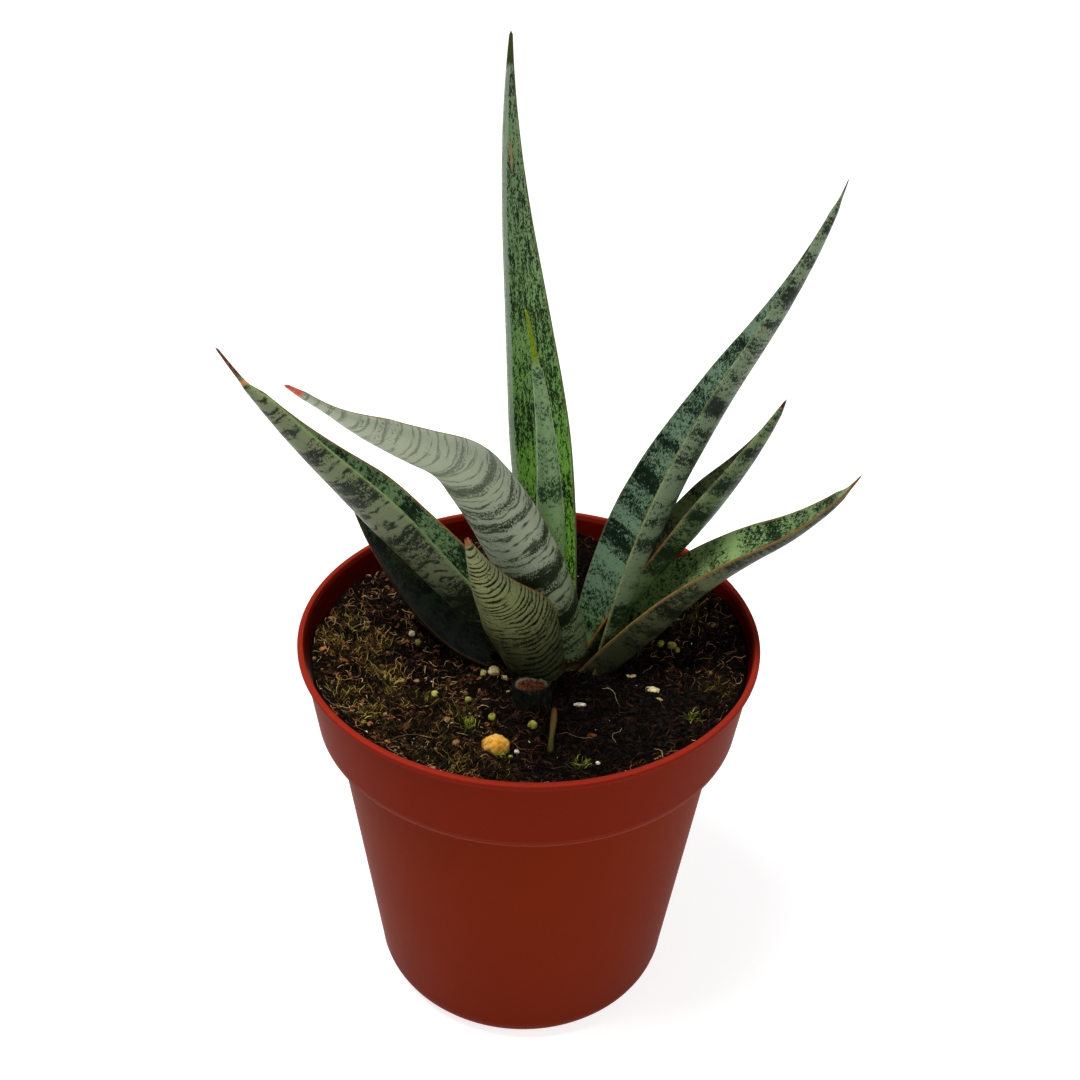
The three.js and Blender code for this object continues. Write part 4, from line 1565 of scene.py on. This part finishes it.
    def _moss(self) -> bpy.types.Object:
        """Mats of dry olive moss over the left side and along the front wall, with painted light: brightest
        at their tips and on the left.

        Each mat is a bearing and a share of the reach to the wall.

        Returns:
            The piece.
        """
        mats = np.array([
            (178.0, 0.93), (183.0, 0.84), (190.0, 0.74), (176.0, 0.72), (197.0, 0.66), (208.0, 0.72),
            (212.0, 0.64), (216.0, 0.82), (219.0, 0.55), (226.0, 0.86), (231.0, 0.72), (240.0, 0.9),
            (245.0, 0.74), (251.0, 0.88), (256.0, 0.66), (262.0, 0.86), (204.0, 0.88), (168.0, 0.84),
            (236.0, 0.52), (341.0, 0.88), (20.0, 0.8),
        ])
        starts = self._tufts(mats, self.mat_strands, 2.0)
        count = len(starts)
        lift = self.random.uniform(*MOSS.lift, count)
        tone = np.repeat(self.random.uniform(0.0, 0.5, len(mats)), self.mat_strands)
        # Painted light: strands are brighter at their raised tips and in the mats on the left, darker low
        # down and at the front.
        lit = np.repeat(0.45 + 0.55 * fade(236.0, 205.0, mats[:, 0]), self.mat_strands)
        bright = 0.4 + 0.6 * (fade(0.4, 1.9, lift) * lit)
        tint = (tone + self.random.uniform(0.0, 0.9, count) ** 1.5) * bright
        lengths = self.random.uniform(*MOSS.length, count)
        radii = self.random.uniform(*MOSS.radius, count)
        return self._strands(MOSS, starts, lengths, radii, lift, tint)

    def _plain(self, kind: Strands, starts: np.ndarray) -> bpy.types.Object:
        """Strands of one kind with lengths, radii, lifts and tints drawn evenly, in that order."""
        spans = (kind.length, kind.radius, kind.lift, (0, 1))
        return self._strands(kind, starts, *(self.random.uniform(*span, len(starts)) for span in spans))

    def _root_hairs(self) -> bpy.types.Object:
        """A few long pale roots that wander over the mix."""
        return self._plain(ROOT_HAIRS, self._scatter(self.root_hair_count))

    def _sprouts(self) -> bpy.types.Object:
        """Small tufts of living green moss near the front wall."""
        tufts = np.array([(286.0, 0.82), (327.0, 0.86), (261.0, 0.72), (243.0, 0.56)])
        return self._plain(SPROUTS, self._tufts(tufts, self.tuft_strands, 0.8))


@dataclass
class Grain:
    """One loose stone, grain of perlite or feed pellet in the place of its CAD solid."""

    node: str
    slot: str
    stops: Stops
    rough: float
    seed: int
    pits: float = 0.0
    rings: int = 22
    sides: int = 36

    def build(self) -> bpy.types.Object:
        """A ball whose radius varies by layered noise, stretched to the CAD solid's box.

        Returns:
            The grain.
        """
        low, high = cad_box(self.node)
        polar = np.linspace(0.0, math.pi, self.rings + 2)[1:-1][:, None]
        ball = close(around(np.sin(polar), circle(self.sides), -np.cos(polar)), (0.0, 0.0, -1.0), UP)
        lump = 1.0 + self.rough * layered_noise(ball * 1.3 + self.seed, self.seed)
        lump = lump - self.pits * np.maximum(0.0, lattice_noise(ball * 3.6 + self.seed, self.seed + 9))
        shape = ball * lump[:, None]
        points = low + (shape - shape.min(0)) / (shape.max(0) - shape.min(0)) * (high - low)
        finish = TintFinish(self.node + "_skin", self.stops, grain=0.8, fineness=1.4, depth=0.2)
        marks = {"tint": 0.5 + 0.5 * layered_noise(ball * 1.1, self.seed + 5)}
        faces = closed_faces(self.rings, self.sides)
        grain = make_piece(self.node + "_fine", points, faces, finish.material(), marks)
        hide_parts(self.node)
        return grain


def loose_grains() -> list[Grain]:
    """Pebble, stone, perlite and feed pellets.

    Returns:
        The grains, each with its colours.
    """
    tan = ((0.1, (150, 92, 30)), (0.45, (214, 160, 62)), (0.9, (238, 206, 128)))
    pale = ((0.1, (128, 112, 66)), (0.5, (196, 184, 132)), (0.9, (232, 226, 196)))
    white = ((0.0, (168, 160, 132)), (0.5, (222, 218, 200)), (1.0, (246, 244, 238)))
    olive = ((0.0, (84, 84, 26)), (0.5, (146, 146, 58)), (1.0, (196, 190, 120)))
    return [
        Grain("tan_pebble", "pebble", tan, 0.3, 3, 0.12), Grain("pale_stone", "perlite", pale, 0.35, 5, 0.2),
        *(Grain(f"perlite_{index}", "perlite", white, 0.35, 10 + index, 0.25) for index in range(1, 6)),
        Grain("perlite_6", "perlite", pale, 0.35, 16, 0.25),
        *(Grain(f"feed_pellet_{index}", "plant_feed", olive, 0.3, 30 + index, 0.1) for index in range(1, 7)),
    ]


@dataclass
class CutStub:
    """Stub of an old leaf with a dry torn face, in the place of its CAD solid."""

    node: str = "old_leaf_stub"
    sides: int = 72
    rows: int = 30
    lid_rings: int = 14
    lid_share: float = 0.88
    dish: float = 0.8
    tear: float = 0.55
    slant: float = 0.35

    def build(self) -> bpy.types.Object:
        """An oval column with fine ribs, closed by rings that dish and tear towards the middle.

        Returns:
            The stub.
        """
        low, high = cad_box(self.node)
        middle, half = (low + high) / 2.0, (high - low) / 2.0
        turn = circle(self.sides)[None, :]
        climb = np.linspace(0.0, 1.0, self.rows)[:, None]
        reach = (1.0 - 0.02 * np.abs(np.sin(turn * 9.0)) - 0.1 * climb) * (1.0 - 0.02 * np.sin(climb * 6.0))
        rim = self.tear * lattice_noise(around(3.0, turn, 0.0), 4)
        top = high[2] - self.tear - 0.1
        column = around(reach, turn, low[2] + (top + rim - low[2]) * climb)
        inward = np.linspace(0.93, 0.06, self.lid_rings)[:, None]
        torn = self.tear * 0.8 * layered_noise(around(inward * 4.0, turn, 0.0), 6) * (1 - inward**6)
        lid_height = top + rim * inward**2 - self.dish * (1.0 - inward**2) + torn
        rings = np.concatenate([column, around(self.lid_share * inward, turn, lid_height)])
        rings[..., :2] = middle[:2] + half[:2] * 0.97 * rings[..., :2]
        rings[..., 0] -= self.slant * fade(low[2], high[2], rings[..., 2])
        points = close(rings, (middle[0], middle[1], low[2]), rings[-1].mean(0))
        sunk = np.clip((0.93 - inward) / 0.35, 0.0, 1.0)
        cut = np.concatenate([np.zeros(self.rows * self.sides), np.repeat(sunk, self.sides), [0.0, 1.0]])
        faces = closed_faces(len(rings), self.sides)
        stub = make_piece("cut_stub", points, faces, self._finish(), {"cut": cut})
        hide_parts(self.node)
        return stub

    @staticmethod
    def _finish() -> bpy.types.Material:
        """Dull grey-green skin darkened as painted shade, and a rusty fibrous cut face with a painted
        highlight along its rim in front.

        Returns:
            The material.
        """
        recipe = Recipe("stub_skin")
        place = x, y, z = recipe.place()
        grain = recipe.noise(x * 1.2, y * 1.2, z * 0.5, 4.0, 0.65)
        fibre = recipe.even_noise(place, 2.4, 4.0, 0.7)
        # Painted shade: the skin runs dark, as the stub stands in shade under the leaves.
        skin = recipe.ramp(grain, (0.4, (13, 17, 12)), (0.58, (34, 40, 30)), (0.75, (84, 90, 76)))
        dry = recipe.ramp(fibre, (0.36, (46, 22, 14)), (0.52, (118, 68, 44)), (0.68, (186, 132, 96)))
        cut = recipe.mark("cut")
        colour = recipe.blend(cut.fade(0.3, 0.6), skin, dry)
        # Painted highlight: a pale line along the front of the cut face's rim.
        rim = cut.fade(0.08, 0.3) * cut.fade(0.8, 0.4) * y.fade(-17.4, -15.0)
        colour = recipe.blend(rim * 0.7, colour, (176, 160, 128))
        return recipe.finish(colour, 0.6 + 0.25 * grain, fibre, 0.3, Specular_IOR_Level=0.15)


@dataclass
class DryStalk:
    """Thin dry stalk that leans on the mix, in the place of its CAD solid."""

    node: str = "dry_stalk"
    radius: float = 0.75
    side_gap: float = 0.2
    rows: int = 70
    sides: int = 18
    stops: Stops = ((0.0, (50, 50, 22)), (0.35, (84, 80, 36)), (0.7, (104, 84, 42)), (1.0, (120, 76, 40)))

    def build(self) -> bpy.types.Object:
        """A tube along a gently bent line over the length of the CAD solid's box.

        Returns:
            The stalk.
        """
        low, high = cad_box(self.node)
        s = np.linspace(0.0, 1.0, self.rows)
        inset = np.array([self.radius, self.side_gap, self.radius])
        shares = np.stack([0.5 - 0.5 * np.cos(math.pi * s * 1.05), s, s], -1)
        path = low + inset + (high - low - 2 * inset) * shares
        swell = self.radius * (0.86 + 0.12 * np.cos(s * 9.0) + 0.05 * np.cos(s * 43.0))
        swell = swell * fade(-0.02, 0.05, s) * fade(1.02, 0.95, s)
        points = close(sweep(path, swell, self.sides, even=False), path[0], path[-1])
        marks = {"tint": np.append(np.repeat(s, self.sides), [0.0, 1.0])}
        finish = TintFinish("stalk_skin", self.stops, roughness=0.55, grain=0.5, fineness=2.0)
        faces = closed_faces(self.rows, self.sides)
        stalk = make_piece("stalk", points, faces, finish.material(), marks)
        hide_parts(self.node)
        return stalk


@dataclass
class Rhizome:
    """Hidden rhizome and roots. The CAD solid keeps its shape and gets a skin."""

    node: str = "rhizome_and_roots"

    def dress(self) -> bpy.types.Object:
        """Gives the CAD node a pale orange root skin.

        Returns:
            The CAD node's object.
        """
        recipe = Recipe("root_skin")
        grain = recipe.even_noise(recipe.place(), 0.8, 4.0, 0.65)
        colour = recipe.ramp(grain, (0.3, (120, 70, 34)), (0.55, (186, 126, 72)), (0.8, (222, 180, 128)))
        material = recipe.finish(colour, 0.6 + 0.3 * grain, grain, 0.3)
        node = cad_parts[self.node]
        for slot in node.material_slots:
            slot.material = material
        return node


# ---------------------------------------------------------------- studio


@dataclass
class Studio:
    """Pale floor, soft light and a camera in front of the pot, looking down on it. In metres."""

    camera_height: float = 0.3021
    camera_distance: float = 0.2758
    pan: float = 0.37
    tilt: float = 33.08
    roll: float = 1.74
    lens: float = 50.0
    sensor: float = 36.0
    aim_height: float = 0.1
    floor_half: float = 4.0
    floor_cells: int = 16
    floor_glow: float = 0.78
    world_strength: float = 0.3
    contrast: float = 0.88

    def build(self) -> None:
        """Makes the floor, the lights, the world and the camera."""
        self._floor()
        self._light("key", (-0.32, -0.12, 1.15), 0.45, 15.0)
        self._light("fill", (0.55, -0.8, 0.75), 0.8, 3.6)
        self._world()
        self._camera()

    def _floor(self) -> None:
        """A wide flat floor that reads white, with a very slight cloudiness."""
        cells, row = self.floor_cells, self.floor_cells + 1
        steps = np.linspace(-self.floor_half, self.floor_half, row)
        x, y = np.meshgrid(steps, steps, indexing="ij")
        points = np.stack([x, y, 0.0 * x - 0.05 * MM], -1).reshape(-1, 3)
        corner = (np.arange(cells)[:, None] * row + np.arange(cells)).ravel()
        faces = np.stack([corner, corner + row, corner + row + 1, corner + 1], -1)
        recipe = Recipe("floor_paper")
        a, b, c = recipe.place()
        colour = recipe.blend(recipe.noise(a * 0.01, b * 0.01, c), (176, 176, 176), (180, 180, 180))
        mesh = bpy.data.meshes.new("floor")
        mesh.from_pydata(points.tolist(), [], faces.tolist())
        mesh.materials.append(
            recipe.finish(colour, 0.9, Emission_Color=WHITE, Emission_Strength=self.floor_glow))
        floor = bpy.data.objects.new("floor", mesh)
        bpy.context.scene.collection.objects.link(floor)

    def _light(self, name: str, place: tuple[float, float, float], size: float, power: float) -> None:
        """One square soft light that faces the middle of the plant.

        Args:
            name: Its name.
            place: Where it hangs.
            size: Length of its sides.
            power: Its power in watts.
        """
        lamp = bpy.data.lights.new(name, "AREA")
        lamp.shape = "SQUARE"
        lamp.size = size
        lamp.energy = power
        light = bpy.data.objects.new(name, lamp)
        light.location = place
        aim = Vector((0.0, 0.0, self.aim_height)) - Vector(place)
        light.rotation_euler = aim.to_track_quat("-Z", "Y").to_euler()
        bpy.context.scene.collection.objects.link(light)

    def _world(self) -> None:
        """An even white surround, and the contrast of the picture."""
        world = bpy.data.worlds.new("surround")
        world.use_nodes = True
        background = world.node_tree.nodes["Background"]
        background.inputs["Color"].default_value = WHITE
        background.inputs["Strength"].default_value = self.world_strength
        scene = bpy.context.scene
        scene.world = world
        scene.view_settings.view_transform = "Standard"
        scene.view_settings.look = "None"
        scene.view_settings.gamma = self.contrast

    def _camera(self) -> None:
        """The camera, turned by pan, tilt and roll from looking along +Y."""
        data = bpy.data.cameras.new("camera")
        data.lens = self.lens
        data.sensor_width = self.sensor
        data.dof.use_dof = False
        camera = bpy.data.objects.new("camera", data)
        pan, tilt, roll = (math.radians(angle) for angle in (self.pan, self.tilt, self.roll))
        forward = Vector((math.sin(pan) * math.cos(tilt), math.cos(pan) * math.cos(tilt), -math.sin(tilt)))
        level = forward.cross(Vector(UP)).normalized()
        right = math.cos(roll) * level + math.sin(roll) * level.cross(forward)
        axes = Matrix((right, right.cross(forward), -forward)).transposed().to_4x4()
        camera.matrix_world = Matrix.Translation((0.0, -self.camera_distance, self.camera_height)) @ axes
        bpy.context.scene.collection.objects.link(camera)
        bpy.context.scene.camera = camera


def main() -> None:
    """Builds every piece in order and reports it."""
    logging.basicConfig(level=logging.INFO, format="%(name)s: %(message)s")
    Studio().build()
    pot = NurseryPot()
    pieces = [pot.build()]
    pieces += [leaf.build() for leaf in rosette()]
    pieces += PottingMix(pot).build()
    pieces += [grain.build() for grain in loose_grains()]
    pieces += [CutStub().build(), DryStalk().build(), Rhizome().dress()]
    for piece in pieces:
        log.info("%s: %d faces", piece.name, len(piece.data.polygons))


if __name__ == "__main__":
    main()
